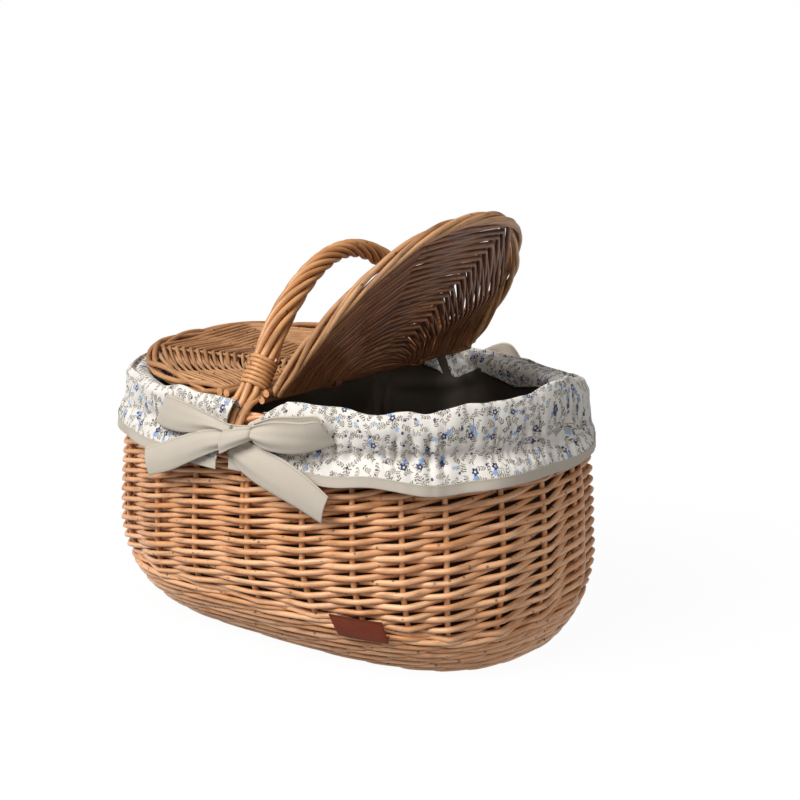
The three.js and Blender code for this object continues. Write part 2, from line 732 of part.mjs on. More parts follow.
// Cloth liner: an open bag on the base, against the stakes
const linerBottom = baseTop + GAP;
const linerTop = seamHeight - 2 * GAP;
const linerRings = (bottom, top, inset) =>
  heightsBetween(bottom, top).map((height) => ringAt(height, -inset));
add(
  "liner_bag",
  cut(
    loft(linerRings(linerBottom, linerTop, linerInset)),
    loft(linerRings(linerBottom + CLOTH_THICKNESS, linerTop + 2, linerInset + CLOTH_THICKNESS)),
  ),
  plainCloth,
);

// Skirts: from the seam inside, over the border, drawn in by the elastic and flaring to the hem
const half = CLOTH_THICKNESS / 2;
const insideBorder = stakeInset + BORDER_WIDTH / 2 + CLOTH_EASE + half;
const skirtProfile = [
  { offset: -linerInset - half, height: seamHeight, fold: 0 },
  { offset: -insideBorder - 0.4, height: borderBottom, fold: 0 },
  { offset: -insideBorder, height: borderTop - 2, fold: 0 },
  { offset: -insideBorder + 5, height: borderTop + GAP + half, fold: 0 },
  { offset: -4, height: borderTop + GAP + half, fold: 0 },
  { offset: 0.45 * SKIRT_SPREAD, height: borderTop + SKIRT_CREST_RISE, fold: 0.2 },
  { offset: SKIRT_SPREAD, height: borderMiddle, fold: 0.5 },
  { offset: ELASTIC_SPREAD, height: borderTop - ELASTIC_DEPTH, fold: 0.3 },
  { offset: 0.75 * SKIRT_SPREAD, height: skirtBottom, fold: 0.8 },
];
const hemProfile = [
  { offset: 0.75 * SKIRT_SPREAD, height: skirtBottom - GAP, fold: 0.8 },
  { offset: 0.75 * SKIRT_SPREAD + HEM_SPREAD, height: skirtBottom - GAP - HEM_HEIGHT, fold: 1 },
];
const foldAt = (share) => FOLD_DEPTH * Math.sin(2 * Math.PI * FOLD_COUNT * share);
const slitAt = (height) => {
  const down = THREE.MathUtils.clamp((clothTop - height) / (clothTop - skirtBottom + HEM_HEIGHT), 0, 1);
  return blend(SLIT_TOP, SLIT_BOTTOM, down);
};
const CLOTH_COLUMNS = 2 * FOLD_COUNT;
function clothBand(profile, inside) {
  const flat = profile.map((p) => new THREE.Vector2(p.offset, p.height));
  const rings = [];
  for (let column = 0; column <= CLOTH_COLUMNS; column++) {
    const front = [];
    const back = [];
    profile.forEach((p, i) => {
      const before = flat[Math.max(i - 1, 0)];
      const after = flat[Math.min(i + 1, flat.length - 1)];
      const along = after.clone().sub(before).normalize();
      const slit = (i < inside ? SLIT_TOP : slitAt(p.height)) / 2 / girth;
      const share = blend(slit, 0.5 - slit, column / CLOTH_COLUMNS);
      const fold = p.fold * foldAt(share);
      const at = (way) =>
        wallPoint(
          share,
          Math.min(p.height, borderMiddle),
          p.offset + fold - way * half * along.y,
        ).setZ(p.height + way * half * along.x);
      front.push(at(1));
      back.unshift(at(-1));
    });
    rings.push([...front, ...back]);
  }
  return loft(rings, { band: true });
}
for (const [side, turn] of [
  ["right", 0],
  ["left", Math.PI],
]) {
  add("skirt_" + side, clothBand(skirtProfile, 5).rotateZ(turn), printedCloth);
  add("hem_" + side, clothBand(hemProfile, 0).rotateZ(turn), plainCloth);
}

// Bows: strips of ribbon over the front of the skirt, then the same turned round for the back
function frontPoint(x, height, offset) {
  const body = bodyAt(Math.min(height, borderMiddle));
  const across = (Math.abs(x) / (body.halfLength + offset)) ** body.squareness;
  const y = -(body.halfWidth + offset) * (1 - across) ** (1 / body.squareness);
  return point(x, y, height);
}
function ribbon(stations) {
  const rings = stations.map(({ x, height, offset, width, lean }, i) => {
    const before = stations[Math.max(i - 1, 0)];
    const after = stations[Math.min(i + 1, stations.length - 1)];
    const along = new THREE.Vector2(after.x - before.x, after.offset - before.offset).normalize();
    const corner = (up, out) =>
      frontPoint(
        x + (up * width * Math.sin(lean)) / 2 - (out * along.y * RIBBON_THICKNESS) / 2,
        height + (up * width * Math.cos(lean)) / 2,
        offset + (out * along.x * RIBBON_THICKNESS) / 2,
      );
    return [corner(1, 1), corner(1, -1), corner(-1, -1), corner(-1, 1)];
  });
  return loft(rings);
}
const knotHeight = borderMiddle - 9;
const knotOffset = SKIRT_SPREAD + 4 + KNOT_DEPTH / 2;
const knotSide = KNOT_WIDTH / 2 + GAP;
const gathered = 0.38 * RIBBON_WIDTH;
const widthAt = (s, widest) => blend(gathered, widest, Math.min(1, s / 0.5));
const LOOP_STATIONS = [0, 0.25, 0.5, 0.75, 0.93];
function bowLoop(side, { length, rise }, widest) {
  const plump = 0.22 * RIBBON_WIDTH;
  const stationAt = (s, layer) => {
    const swell = 1.4 * (1 - s) + plump * s ** 0.7 * Math.sqrt(1 - s ** 4);
    return {
      x: BOW_SHIFT + side * (knotSide + s * length),
      height: knotHeight + s * rise,
      offset: knotOffset - 1 + layer * swell,
      width: widthAt(s, widest),
      lean: 0,
    };
  };
  return ribbon([
    ...LOOP_STATIONS.map((s) => stationAt(s, 1)),
    stationAt(1, 0),
    ...LOOP_STATIONS.toReversed().map((s) => stationAt(s, -1)),
  ]);
}
function bowTail(side, { length, drop }, widest) {
  const steps = 7;
  const lean = side * Math.atan2(drop, length);
  const start = knotHeight - KNOT_WIDTH / 2 - gathered / 2 + TAIL_TUCK;
  return ribbon(
    Array.from({ length: steps + 1 }, (_, i) => {
      const s = i / steps;
      return {
        x: BOW_SHIFT + side * (5 + s * length),
        height: start - s * drop,
        offset: blend(knotOffset, SKIRT_SPREAD + FOLD_DEPTH + 4, Math.min(1, 2 * s)),
        width: widthAt(s, widest),
        lean,
      };
    }),
  );
}
function bowKnot() {
  const knot = new THREE.SphereGeometry(0.5, 10, 8).scale(KNOT_WIDTH, KNOT_DEPTH, KNOT_WIDTH);
  const centre = frontPoint(BOW_SHIFT, knotHeight, knotOffset);
  return knot.translate(centre.x, centre.y, centre.z);
}
function tieBand() {
  const reach = SLIT_TOP / 2 + 12;
  return ribbon(
    [-1, -0.5, 0, 0.5, 1].map((s) => ({
      x: s * reach,
      height: borderMiddle - 5,
      offset: SKIRT_SPREAD + FOLD_DEPTH / 2 + half + GAP + RIBBON_THICKNESS / 2 - 0.6,
      width: gathered,
      lean: 0,
    })),
  );
}
for (const [place, turn] of [
  ["front", 0],
  ["back", Math.PI],
]) {
  const bow = {
    tie_band: tieBand(),
    knot: bowKnot(),
    loop_left: bowLoop(-1, LEFT_LOOP, 0.8 * RIBBON_WIDTH),
    loop_right: bowLoop(1, RIGHT_LOOP, RIBBON_WIDTH),
    tail_left: bowTail(-1, LEFT_TAIL, 0.76 * RIBBON_WIDTH),
    tail_right: bowTail(1, RIGHT_TAIL, 0.95 * RIBBON_WIDTH),
  };
  for (const [piece, geometry] of Object.entries(bow)) {
    add(place + "_bow_" + piece, geometry.rotateZ(turn), plainCloth);
  }
}

// Leather tag, curved to the wall low on the front
const TAG_STEPS = 5;
const tagRings = Array.from({ length: TAG_STEPS + 1 }, (_, i) => {
  const along = (i / TAG_STEPS - 0.5) * TAG_LENGTH;
  const corner = (up, offset) =>
    wallPoint(
      TAG_SHARE + along / girth,
      TAG_CENTRE_HEIGHT - TAG_TILT * along + (up * TAG_HEIGHT) / 2,
      offset,
    );
  const inner = 2 * GAP;
  const outer = inner + TAG_THICKNESS;
  return [corner(1, outer), corner(-1, outer), corner(-1, inner), corner(1, inner)];
});
add("leather_tag", loft(tagRings), leather);

export default basket;
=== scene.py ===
# %% [markdown]
# # A willow picnic basket with a tied cloth liner
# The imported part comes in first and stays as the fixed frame. Every piece below is made in metres in that
# same frame, so nothing has to be fitted by eye. Sizes are written in millimetres, as a basket maker would
# note them, and turned into metres where a mesh is made.

# %% Load the frame
import math

import bmesh
import bpy
import numpy as np
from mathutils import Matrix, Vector


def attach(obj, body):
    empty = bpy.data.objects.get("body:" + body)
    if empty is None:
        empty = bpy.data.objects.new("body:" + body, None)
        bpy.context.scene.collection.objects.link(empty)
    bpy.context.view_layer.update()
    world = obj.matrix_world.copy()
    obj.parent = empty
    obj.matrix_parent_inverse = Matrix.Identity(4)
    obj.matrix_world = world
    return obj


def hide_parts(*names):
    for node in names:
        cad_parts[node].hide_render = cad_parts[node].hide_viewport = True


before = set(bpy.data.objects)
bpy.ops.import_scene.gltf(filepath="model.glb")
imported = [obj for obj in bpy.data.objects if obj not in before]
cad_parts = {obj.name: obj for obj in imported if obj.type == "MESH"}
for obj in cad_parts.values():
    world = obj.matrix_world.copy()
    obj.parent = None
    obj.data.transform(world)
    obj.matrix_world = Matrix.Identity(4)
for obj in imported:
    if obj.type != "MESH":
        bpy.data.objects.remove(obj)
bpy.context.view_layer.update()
MM = 0.001
scene = bpy.context.scene

# %% [markdown]
# ## Camera
# The picture was taken a little above the rim and from the right of the handle's front foot. A long lens
# from two metres keeps the basket's sides nearly parallel. The object sits left of and below the middle of
# the square frame, which a small lens shift gives without turning the camera.

# %% Camera
AZIMUTH = math.radians(40.35)
ELEVATION = math.radians(14.92)
AIM_HEIGHT = 150
CAMERA_AWAY = 2148
LENS_LENGTH = 104.1
SENSOR_WIDTH = 36
LENS_SHIFT = (0.0588, 0.0718)


def put_in_scene(name, data, place, backwards):
    thing = bpy.data.objects.new(name, data)
    thing.location = place
    thing.rotation_euler = backwards.to_track_quat("Z", "Y").to_euler()
    scene.collection.objects.link(thing)
    return thing


to_camera = Vector((
    math.sin(AZIMUTH) * math.cos(ELEVATION),
    -math.cos(AZIMUTH) * math.cos(ELEVATION),
    math.sin(ELEVATION),
))
lens = bpy.data.cameras.new("camera")
lens.lens = LENS_LENGTH
lens.sensor_width = SENSOR_WIDTH
lens.shift_x, lens.shift_y = LENS_SHIFT
camera_place = Vector((0, 0, AIM_HEIGHT)) * MM + to_camera * CAMERA_AWAY * MM
scene.camera = put_in_scene("camera", lens, camera_place, to_camera)
print("camera at", [round(v, 3) for v in camera_place])

# %% [markdown]
# ## Light
# A product photograph like this one is taken on a white sweep with one large light high up on the camera's
# left. A sun with a wide angle gives the same soft, even light over the whole floor. A dim white world fills
# the shadows, and a weak soft box on the right keeps that end from going dark.

# %% Light
WORLD_GLOW = 0.27
SUN_FROM = Vector((-0.2, -0.85, 0.85))
SUN_STRENGTH = 3.4
SUN_SPREAD = math.radians(38)
FILL_PLACE = Vector((2.0, -0.9, 1.2))
FILL_TARGET = Vector((0, 0, 0.15))
FILL_SIZE = 1.2
FILL_POWER = 9

scene.view_settings.view_transform = "Standard"
world = bpy.data.worlds.new("studio")
world.use_nodes = True
backdrop = world.node_tree.nodes["Background"].inputs
backdrop["Color"].default_value = (1, 1, 1, 1)
backdrop["Strength"].default_value = WORLD_GLOW
scene.world = world

sun = bpy.data.lights.new("key", "SUN")
sun.energy = SUN_STRENGTH
sun.angle = SUN_SPREAD
put_in_scene("key", sun, (0, 0, 0), SUN_FROM)

soft_box = bpy.data.lights.new("fill", "AREA")
soft_box.shape = "SQUARE"
soft_box.size = FILL_SIZE
soft_box.energy = FILL_POWER
put_in_scene("fill", soft_box, FILL_PLACE, FILL_PLACE - FILL_TARGET)
print("sun and soft box")

# %% [markdown]
# ## Small helpers for materials
# Colours are noted as the hex values that a colour picker shows. Cycles works in linear light, so one
# function turns them over. A second one adds a node, sets its properties and fills or links its sockets,
# which keeps a material readable as a list of steps. Sockets are given by name or by number. A Mix node for
# colours takes its share at 0 and the two colours at 6 and 7, and gives the mixture at output 2. A MapRange
# node takes a value at 0, the range it comes from at 1 and 2 and the range it goes to at 3 and 4.


# %% Material helpers
def colour(code):
    channels = [int(code[i:i + 2], 16) / 255 for i in (1, 3, 5)]
    straight = [c / 12.92 if c <= 0.04045 else ((c + 0.055) / 1.055) ** 2.4 for c in channels]
    return (*straight, 1.0)


def add(tree, kind, inputs=None, **settings):
    made = tree.nodes.new("ShaderNode" + kind)
    for name, value in settings.items():
        setattr(made, name, value)
    for socket, value in (inputs or {}).items():
        if isinstance(value, bpy.types.NodeSocket):
            tree.links.new(value, made.inputs[socket])
        else:
            made.inputs[socket].default_value = value
    return made


def new_material(name):
    material = bpy.data.materials.new(name)
    material.use_nodes = True
    material.node_tree.nodes.clear()
    return material, material.node_tree


# %% [markdown]
# ## Floor
# The sweep under the basket is plain matt white. It is lit from below like a light table, so only a faint
# shadow stays on it, and it sends no light back up, so the inside of the open lid stays dark.

# %% Floor
FLOOR_SIZE = 16
FLOOR_GLOW = 0.96
floor_paint, tree = new_material("floor_matt_white")
grain = add(tree, "TexNoise", {"Scale": 30.0, "Detail": 2.0})
whites = {0: grain.outputs["Fac"], 6: colour("#f4f4f3"), 7: colour("#f8f8f7")}
tone = add(tree, "Mix", whites, data_type="RGBA")
shell = add(tree, "BsdfPrincipled", {"Base Color": tone.outputs[2], "Roughness": 0.9})
glow = add(tree, "Emission", {"Color": (1, 1, 1, 1), "Strength": 1.0})
table = add(tree, "MixShader", {0: FLOOR_GLOW, 1: shell.outputs[0], 2: glow.outputs[0]})
add(tree, "OutputMaterial", {"Surface": table.outputs[0]})

floor_mesh = bpy.data.meshes.new("floor")
bm = bmesh.new()
bmesh.ops.create_grid(bm, x_segments=1, y_segments=1, size=FLOOR_SIZE)
bm.to_mesh(floor_mesh)
bm.free()
floor_mesh.materials.append(floor_paint)
floor = bpy.data.objects.new("floor", floor_mesh)
floor.visible_diffuse = False
scene.collection.objects.link(floor)
print("floor", 2 * FLOOR_SIZE, "m wide")

# %% [markdown]
# ## Willow
# The basket is woven from boiled and peeled willow rods under a thin clear varnish. The eye sees honey-tan
# rods that differ from one another, pinkish or pale in places, with darker streaks along the fibre, small
# dark specks at the buds and a soft highlight along each rod. Every rod mesh carries an attribute named rod,
# which holds the distance along the rod in metres, a random shade and the place around it. So streaks run
# with each rod whichever way it bends.

# %% Willow material
STREAK_LONG = 20 * MM
STREAKS_ROUND = 4.0
TONE_LONG = 120 * MM
BUD_CELL = 11 * MM
LANES = 61.0
WILLOW_IOR = 1.48


def willow(name, pale, tan, deep, gloss):
    material, tree = new_material(name)
    rod = add(tree, "Attribute", attribute_name="rod")
    part = add(tree, "SeparateXYZ", {0: rod.outputs["Vector"]})
    # the shade gives each rod a lane of its own in the noise
    lane = add(tree, "Math", {0: part.outputs["Y"], 1: LANES}, operation="MULTIPLY")
    around = add(tree, "Math", {0: part.outputs["Z"], 1: STREAKS_ROUND}, operation="MULTIPLY")
    along = add(tree, "Math", {0: part.outputs["X"], 1: 1 / STREAK_LONG}, operation="MULTIPLY")
    fibre = add(tree, "CombineXYZ", {0: along.outputs[0], 1: around.outputs[0], 2: lane.outputs[0]})
    streak = add(tree, "TexNoise", {
        "Vector": fibre.outputs[0], "Scale": 1.0, "Detail": 3.0, "Roughness": 0.6})
    # a slow change of tone, where one rod takes over from the last
    slow = add(tree, "Math", {0: part.outputs["X"], 1: 1 / TONE_LONG}, operation="MULTIPLY")
    stretch = add(tree, "CombineXYZ", {0: slow.outputs[0], 1: lane.outputs[0], 2: 0.0})
    drift = add(tree, "TexNoise", {"Vector": stretch.outputs[0], "Scale": 1.0, "Detail": 1.0})
    tone = add(tree, "MapRange", {0: part.outputs["Y"], 1: 0.0, 2: 1.0, 3: -0.28, 4: 0.28})
    tone = add(tree, "Math", {0: tone.outputs[0], 1: drift.outputs["Fac"]}, operation="ADD")
    base = add(tree, "Mix", {0: tone.outputs[0], 6: colour(tan), 7: colour(pale)}, data_type="RGBA")
    dark = add(tree, "MapRange", {0: streak.outputs["Fac"], 1: 0.48, 2: 0.78, 3: 0.0, 4: 0.75})
    base = add(tree, "Mix", {0: dark.outputs[0], 6: base.outputs[2], 7: colour(deep)}, data_type="RGBA")
    # bud specks up to 3 mm wide, where a rod happens to pass the middle of a cell
    object_place = add(tree, "TexCoord")
    bud = add(tree, "TexVoronoi", {"Vector": object_place.outputs["Object"], "Scale": 1 / BUD_CELL})
    speck = add(tree, "MapRange", {0: bud.outputs["Distance"], 1: 0.1, 2: 0.16, 3: 0.7, 4: 0.0})
    specked = {0: speck.outputs[0], 6: base.outputs[2], 7: colour("#4a2a16")}
    base = add(tree, "Mix", specked, data_type="RGBA")
    rough = add(tree, "MapRange", {0: streak.outputs["Fac"], 1: 0.2, 2: 0.8, 3: gloss, 4: gloss + 0.22})
    bump = add(tree, "Bump", {"Strength": 0.25, "Distance": 0.4 * MM, "Height": streak.outputs["Fac"]})
    shell = add(tree, "BsdfPrincipled", {
        "Base Color": base.outputs[2],
        "Roughness": rough.outputs[0],
        "Normal": bump.outputs[0],
        "IOR": WILLOW_IOR,
        "Coat Weight": 0.15,
        "Coat Roughness": 0.3,
    })
    add(tree, "OutputMaterial", {"Surface": shell.outputs[0]})
    return material


wall_willow = willow("varnished_willow_wall", "#f5c092", "#d08f58", "#7c4a28", 0.34)
handle_willow = willow("varnished_willow_handle", "#dfa872", "#bd7b42", "#83502a", 0.3)
lid_willow = willow("varnished_willow_lid", "#d8a676", "#a46b3d", "#54301a", 0.4)
# the same willow with painted shade: a darker copy for the open lid's inside, its sticks and the hinge
# lashings, which lie in shade
shaded_willow = willow("varnished_willow_painted_shade", "#985f36", "#5c3217", "#2a1308", 0.42)
print("willow in four tones")

# %% [markdown]
# ## The outline of the body
# Seen from above the basket is an oval with full corners, narrow at the foot, widest a little below the
# middle and drawn in again at the rim. Woven by hand, it leans a little, so the foot stands a few
# millimetres aside. One function gives a point on it from three numbers: the share of the way round,
# starting at the middle of the front, the height, and the offset outside the weave.

# %% Outline of the body
BELLY = (462 / 2, 344 / 2, 2.46)
FOOT = (382 / 2, 208 / 2, 3.0)
RIM = (428 / 2, 324 / 2, 2.46)
BELLY_HEIGHT = 95
BORDER_TOP = 225.4
BORDER_MIDDLE = 218.9
FOOT_FLARE = 0.69
FOOT_ASIDE = 3


def oval(half_length, half_width, squareness, angle):
    c, s = np.cos(angle), np.sin(angle)
    x = half_length * np.sign(c) * np.abs(c) ** (2 / squareness)
    y = half_width * np.sign(s) * np.abs(s) ** (2 / squareness)
    return x, y


turns = np.linspace(-math.pi / 2, 1.5 * math.pi, 2881)
belly_x, belly_y = oval(*BELLY, turns)
paces = np.r_[0, np.cumsum(np.hypot(np.diff(belly_x), np.diff(belly_y)))]
GIRTH = paces[-1]


def body_at(height):
    z = np.clip(np.asarray(height, float), 0, BORDER_TOP)
    low = np.clip(z / BELLY_HEIGHT, 0, 1)
    swell = np.sin(math.pi / 2 * low) ** FOOT_FLARE
    taper = (np.clip(z - BELLY_HEIGHT, 0, None) / (BORDER_TOP - BELLY_HEIGHT)) ** 2
    half_length = FOOT[0] + (BELLY[0] - FOOT[0]) * swell + (RIM[0] - BELLY[0]) * taper
    half_width = FOOT[1] + (BELLY[1] - FOOT[1]) * swell + (RIM[1] - BELLY[1]) * taper
    squareness = FOOT[2] + (BELLY[2] - FOOT[2]) * low
    return half_length, half_width, squareness


def wall_point(share, height, offset):
    share, height, offset = np.broadcast_arrays(share, height, np.asarray(offset, float))
    half_length, half_width, squareness = body_at(height)
    angle = np.interp((share % 1) * GIRTH, paces, turns)
    x, y = oval(half_length + offset, half_width + offset, squareness, angle)
    lean = FOOT_ASIDE * np.clip(1 - height / BELLY_HEIGHT, 0, 1)
    return np.stack([x + lean, y + lean, np.asarray(height, float)], axis=-1)


print("girth of the belly", round(GIRTH), "mm")

# %% [markdown]
# ## How a rod is made
# A willow rod is a round section swept along a path, which is what a bevelled curve is. All the rods of one
# piece go into one curve object as separate splines. The curve is then turned into a mesh, where the points
# of each spline follow one another, so the rod attribute can be filled in the same order.

# %% Rods from curves
dice = np.random.default_rng(7)
# metres between the starts of two rods in the noise, so that no two are alike
ROD_STAGGER = 3.7
SHARP_EDGE = math.radians(70)


def to_mesh_object(name, curve):
    maker = bpy.data.objects.new(name + ".curve", curve)
    mesh = bpy.data.meshes.new_from_object(maker)
    bpy.data.objects.remove(maker)
    bpy.data.curves.remove(curve)
    mesh.name = name
    piece = bpy.data.objects.new(name, mesh)
    scene.collection.objects.link(piece)
    return piece


def rods(name, paths, radii, material, sides=8, closed=False, shades=None):
    curve = bpy.data.curves.new(name, "CURVE")
    curve.dimensions = "3D"
    curve.bevel_depth = MM
    curve.bevel_resolution = sides // 2 - 2
    curve.twist_mode = "MINIMUM"
    marks = []
    for i, path in enumerate(paths):
        path = np.asarray(path, float)
        thick = np.broadcast_to(np.asarray(radii[i], float), len(path))
        spline = curve.splines.new("POLY")
        spline.points.add(len(path) - 1)
        spline.points.foreach_set("co", np.c_[path * MM, np.ones(len(path))].ravel())
        spline.points.foreach_set("radius", np.ascontiguousarray(thick))
        spline.use_cyclic_u = closed
        along = np.r_[0, np.cumsum(np.linalg.norm(np.diff(path, axis=0), axis=1))] * MM
        shade = dice.random() if shades is None else shades[i]
        ring = np.tile(np.arange(sides) / sides, len(path))
        marks.append(np.c_[np.repeat(along, sides) + ROD_STAGGER * i, np.full(len(ring), shade), ring])
    piece = to_mesh_object(name, curve)
    mesh = piece.data
    marks = np.concatenate(marks)
    assert len(marks) == len(mesh.vertices), (name, len(marks), len(mesh.vertices))
    mesh.attributes.new("rod", "FLOAT_VECTOR", "POINT").data.foreach_set("vector", marks.ravel())
    if not closed:
        bm = bmesh.new()
        bm.from_mesh(mesh)
        bmesh.ops.holes_fill(bm, edges=bm.edges, sides=0)
        bm.to_mesh(mesh)
        bm.free()
    mesh.shade_smooth()
    mesh.set_sharp_from_angle(angle=SHARP_EDGE)
    mesh.materials.append(material)
    print(name, len(paths), "rods,", len(mesh.polygons), "faces")
    return piece


def finish_piece(piece, body, slot, *nodes):
    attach(piece, body)
    if nodes:
        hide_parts(*nodes)


# %% [markdown]
# ## Woven wall
# The wall is randing: each weaver passes in front of one stake and behind the next, and the row above does
# the opposite. A rod runs almost straight from stake to stake and turns mostly there, so its path is a
# rounded zigzag between the outline and its chords. It is woven by hand: the stakes are not evenly spaced,
# and the rows are beaten down harder on the left than on the right, so they climb a little to the right.
# Rows that reach the foot or the rim before they have gone all the way round are tucked in there.

# %% Where the stakes stand and how the rows run
WEAVER_RADIUS = 2.45
STAKE_RADIUS = 2.6
STAKE_OFFSET = -2 * WEAVER_RADIUS - STAKE_RADIUS
STAKES = 26
near_stakes = [-0.146, -0.081, -0.037, 0.014, 0.061, 0.099, 0.133, 0.163, 0.205, 0.246, 0.288, 0.328]
far_stakes = np.linspace(near_stakes[-1], 1 + near_stakes[0], STAKES - len(near_stakes) + 2)[1:]
stake_shares = np.r_[near_stakes, far_stakes]
numbers = np.arange(STAKES + 1)


def round_the_wall(near):
    return np.interp(numbers, np.r_[np.arange(len(near)), STAKES], np.r_[near, near[0]])


row_middle = round_the_wall([86, 105, 117, 125, 134, 142, 149, 155, 163, 166, 174, 180])
row_pitch = round_the_wall([4.6, 4.6, 4.7, 4.65, 5.0, 5.15, 5.4, 5.45, 5.5, 5.3, 5.05, 4.85])
wale_top = round_the_wall([52, 53, 54, 54, 54, 51, 45, 40, 40, 42, 44, 46])
ROW_NUMBERS = range(-28, 28)
ROWS_END = 207
print(STAKES, "stakes,", len(ROW_NUMBERS), "rows", row_pitch.min(), "to", row_pitch.max(), "mm apart")

# %% Woven wall
ZIGZAG_ROUNDING = 0.96
BENDS = np.array([0, 0.08, 0.18, 0.38, 0.62, 0.82, 0.92])
SWING = WEAVER_RADIUS + STAKE_RADIUS
BOWED = 0.6
TUCKED_STILL = 0.8
TUCKED_OVER = 4
WEAVER_FULL = 0.51


def zigzag(steps):
    return np.arcsin(ZIGZAG_ROUNDING * np.cos(math.pi * steps)) / math.asin(ZIGZAG_ROUNDING)


def wobble(count, size, smooth=1):
    noise = dice.normal(0, size, count)
    for _ in range(smooth):
        # a mean of three would shrink the noise too much
        noise = (noise + np.roll(noise, 1) + np.roll(noise, -1)) / 1.8
    return noise


def on_stakes(values, places):
    return np.stack([np.interp(places, numbers, column) for column in np.atleast_2d(values.T)], axis=-1)


places = (numbers[:-1, None] + BENDS).ravel()
shares_here = np.interp(places, numbers, stake_shares)
weavers, thickness = [], []
for row in ROW_NUMBERS:
    drift = wobble(STAKES + 1, 0.22)
    drift[-1] = drift[0]
    wanted = row_middle + row_pitch * row + drift
    height = np.clip(wanted, wale_top, ROWS_END)
    loose = 1 - TUCKED_STILL * np.clip(np.abs(wanted - height) / TUCKED_OVER, 0, 1)
    inner = on_stakes(wall_point(stake_shares, height, STAKE_OFFSET - SWING * loose), places)
    outer = on_stakes(wall_point(stake_shares, height, STAKE_OFFSET + SWING * loose), places)
    swing = zigzag(places + row)
    straight = inner + (outer - inner) * (0.5 + 0.5 * swing)[:, None]
    held = np.interp(places, numbers, loose) * swing
    bowed = wall_point(shares_here, np.interp(places, numbers, height), STAKE_OFFSET + SWING * held)
    weavers.append(BOWED * bowed + (1 - BOWED) * straight)
    slow = np.interp(places, np.linspace(0, STAKES, 10), wobble(10, 0.04))
    pitch_here = np.interp(places, numbers, row_pitch)
    thickness.append(pitch_here * (WEAVER_FULL + 0.02 * dice.normal()) * (1 + slow))
wall_rods = rods("woven_wall_rods", weavers, thickness, wall_willow, sides=8, closed=True)
finish_piece(wall_rods, "basket", "willow", "woven_wall")

# %% Stakes
STAKE_FOOT, STAKE_TOP = 9, 216
stake_heights = np.linspace(STAKE_FOOT, STAKE_TOP, 24)
stake_paths = [wall_point(share, stake_heights, STAKE_OFFSET) for share in stake_shares[:-1]]
stakes = rods("wall_stakes", stake_paths, [STAKE_RADIUS] * len(stake_paths), wall_willow, sides=8)
finish_piece(stakes, "basket", "willow")

# %% [markdown]
# ## Foot wale
# The basket stands on six rounds of waling. In a wale three rods take turns: each passes in front of two
# stakes and behind the third, climbing over the other two on its way, so the rounds look like rope with a
# slanting lay. The rounds are taller on the left, where the rows above were beaten down harder.

# %% Foot wale
WALE_ROUNDS = 6
WALE_RODS = 3
WALE_RADIUS = 2.3
WALE_SWING = 5.0
CLIMB_BEATS = [0, 0.1, 0.68, 0.85, 1]
CLIMB_HEIGHTS = [-0.95, -0.8, 0.9, 0.1, -0.95]
wale_places = np.arange(0, STAKES, 1 / 6)
wale_shares = np.interp(wale_places, numbers, stake_shares)
round_tall = (np.interp(wale_places, numbers, wale_top) - 1) / WALE_ROUNDS
wale_paths, wale_radii = [], []
for level in range(WALE_ROUNDS):
    for strand in range(WALE_RODS):
        beat = ((wale_places + strand + 1.5 * level) / WALE_RODS) % 1
        front = np.cos(2 * math.pi * (beat - 0.36))
        depth = STAKE_OFFSET + WALE_SWING * np.clip(1.5 * front + 0.35, -1, 1)
        climb = 0.5 * np.interp(beat, CLIMB_BEATS, CLIMB_HEIGHTS)
        heights = round_tall * (level + 0.5 + climb) + wobble(len(beat), 0.12, 3)
        wale_paths.append(wall_point(wale_shares, np.maximum(heights, WALE_RADIUS), depth))
        wale_radii.append(WALE_RADIUS * (1 + 0.06 * dice.normal()))
foot = rods("foot_wale_rods", wale_paths, wale_radii, wall_willow, sides=8, closed=True)
finish_piece(foot, "basket", "willow", "foot_wale")

# %% [markdown]
# ## Border
# The stakes end in a border, turned down one behind another. Under the cloth only a short stretch shows,
# beside the front foot of the handle, so a rope of five rods laid round the rim gives what the eye meets
# there.

# %% Border
BORDER_RODS = 5
BORDER_TWISTS = 17
BORDER_WIDE, BORDER_TALL = 4.8, 3.8
BORDER_RADIUS = 2.5
border_places = np.linspace(0, 1, 401)[:-1]
border_paths = []
for strand in range(BORDER_RODS):
    lay = 2 * math.pi * (strand / BORDER_RODS + BORDER_TWISTS * border_places)
    flat = wall_point(border_places, BORDER_MIDDLE, STAKE_OFFSET + BORDER_WIDE * np.cos(lay))
    flat[:, 2] += BORDER_TALL * np.sin(lay)
    border_paths.append(flat)
border = rods("border_rods", border_paths, [BORDER_RADIUS] * BORDER_RODS, wall_willow, sides=8, closed=True)
finish_piece(border, "basket", "willow", "stakes_and_border")

# %% [markdown]
# ## Base
# Seen from below, an oval base is woven round three long sticks that are threaded through three cross
# sticks. The weavers go over and under the sticks in ovals that fill the foot. They are rods as in the wall,
# only their zigzag runs up and down.

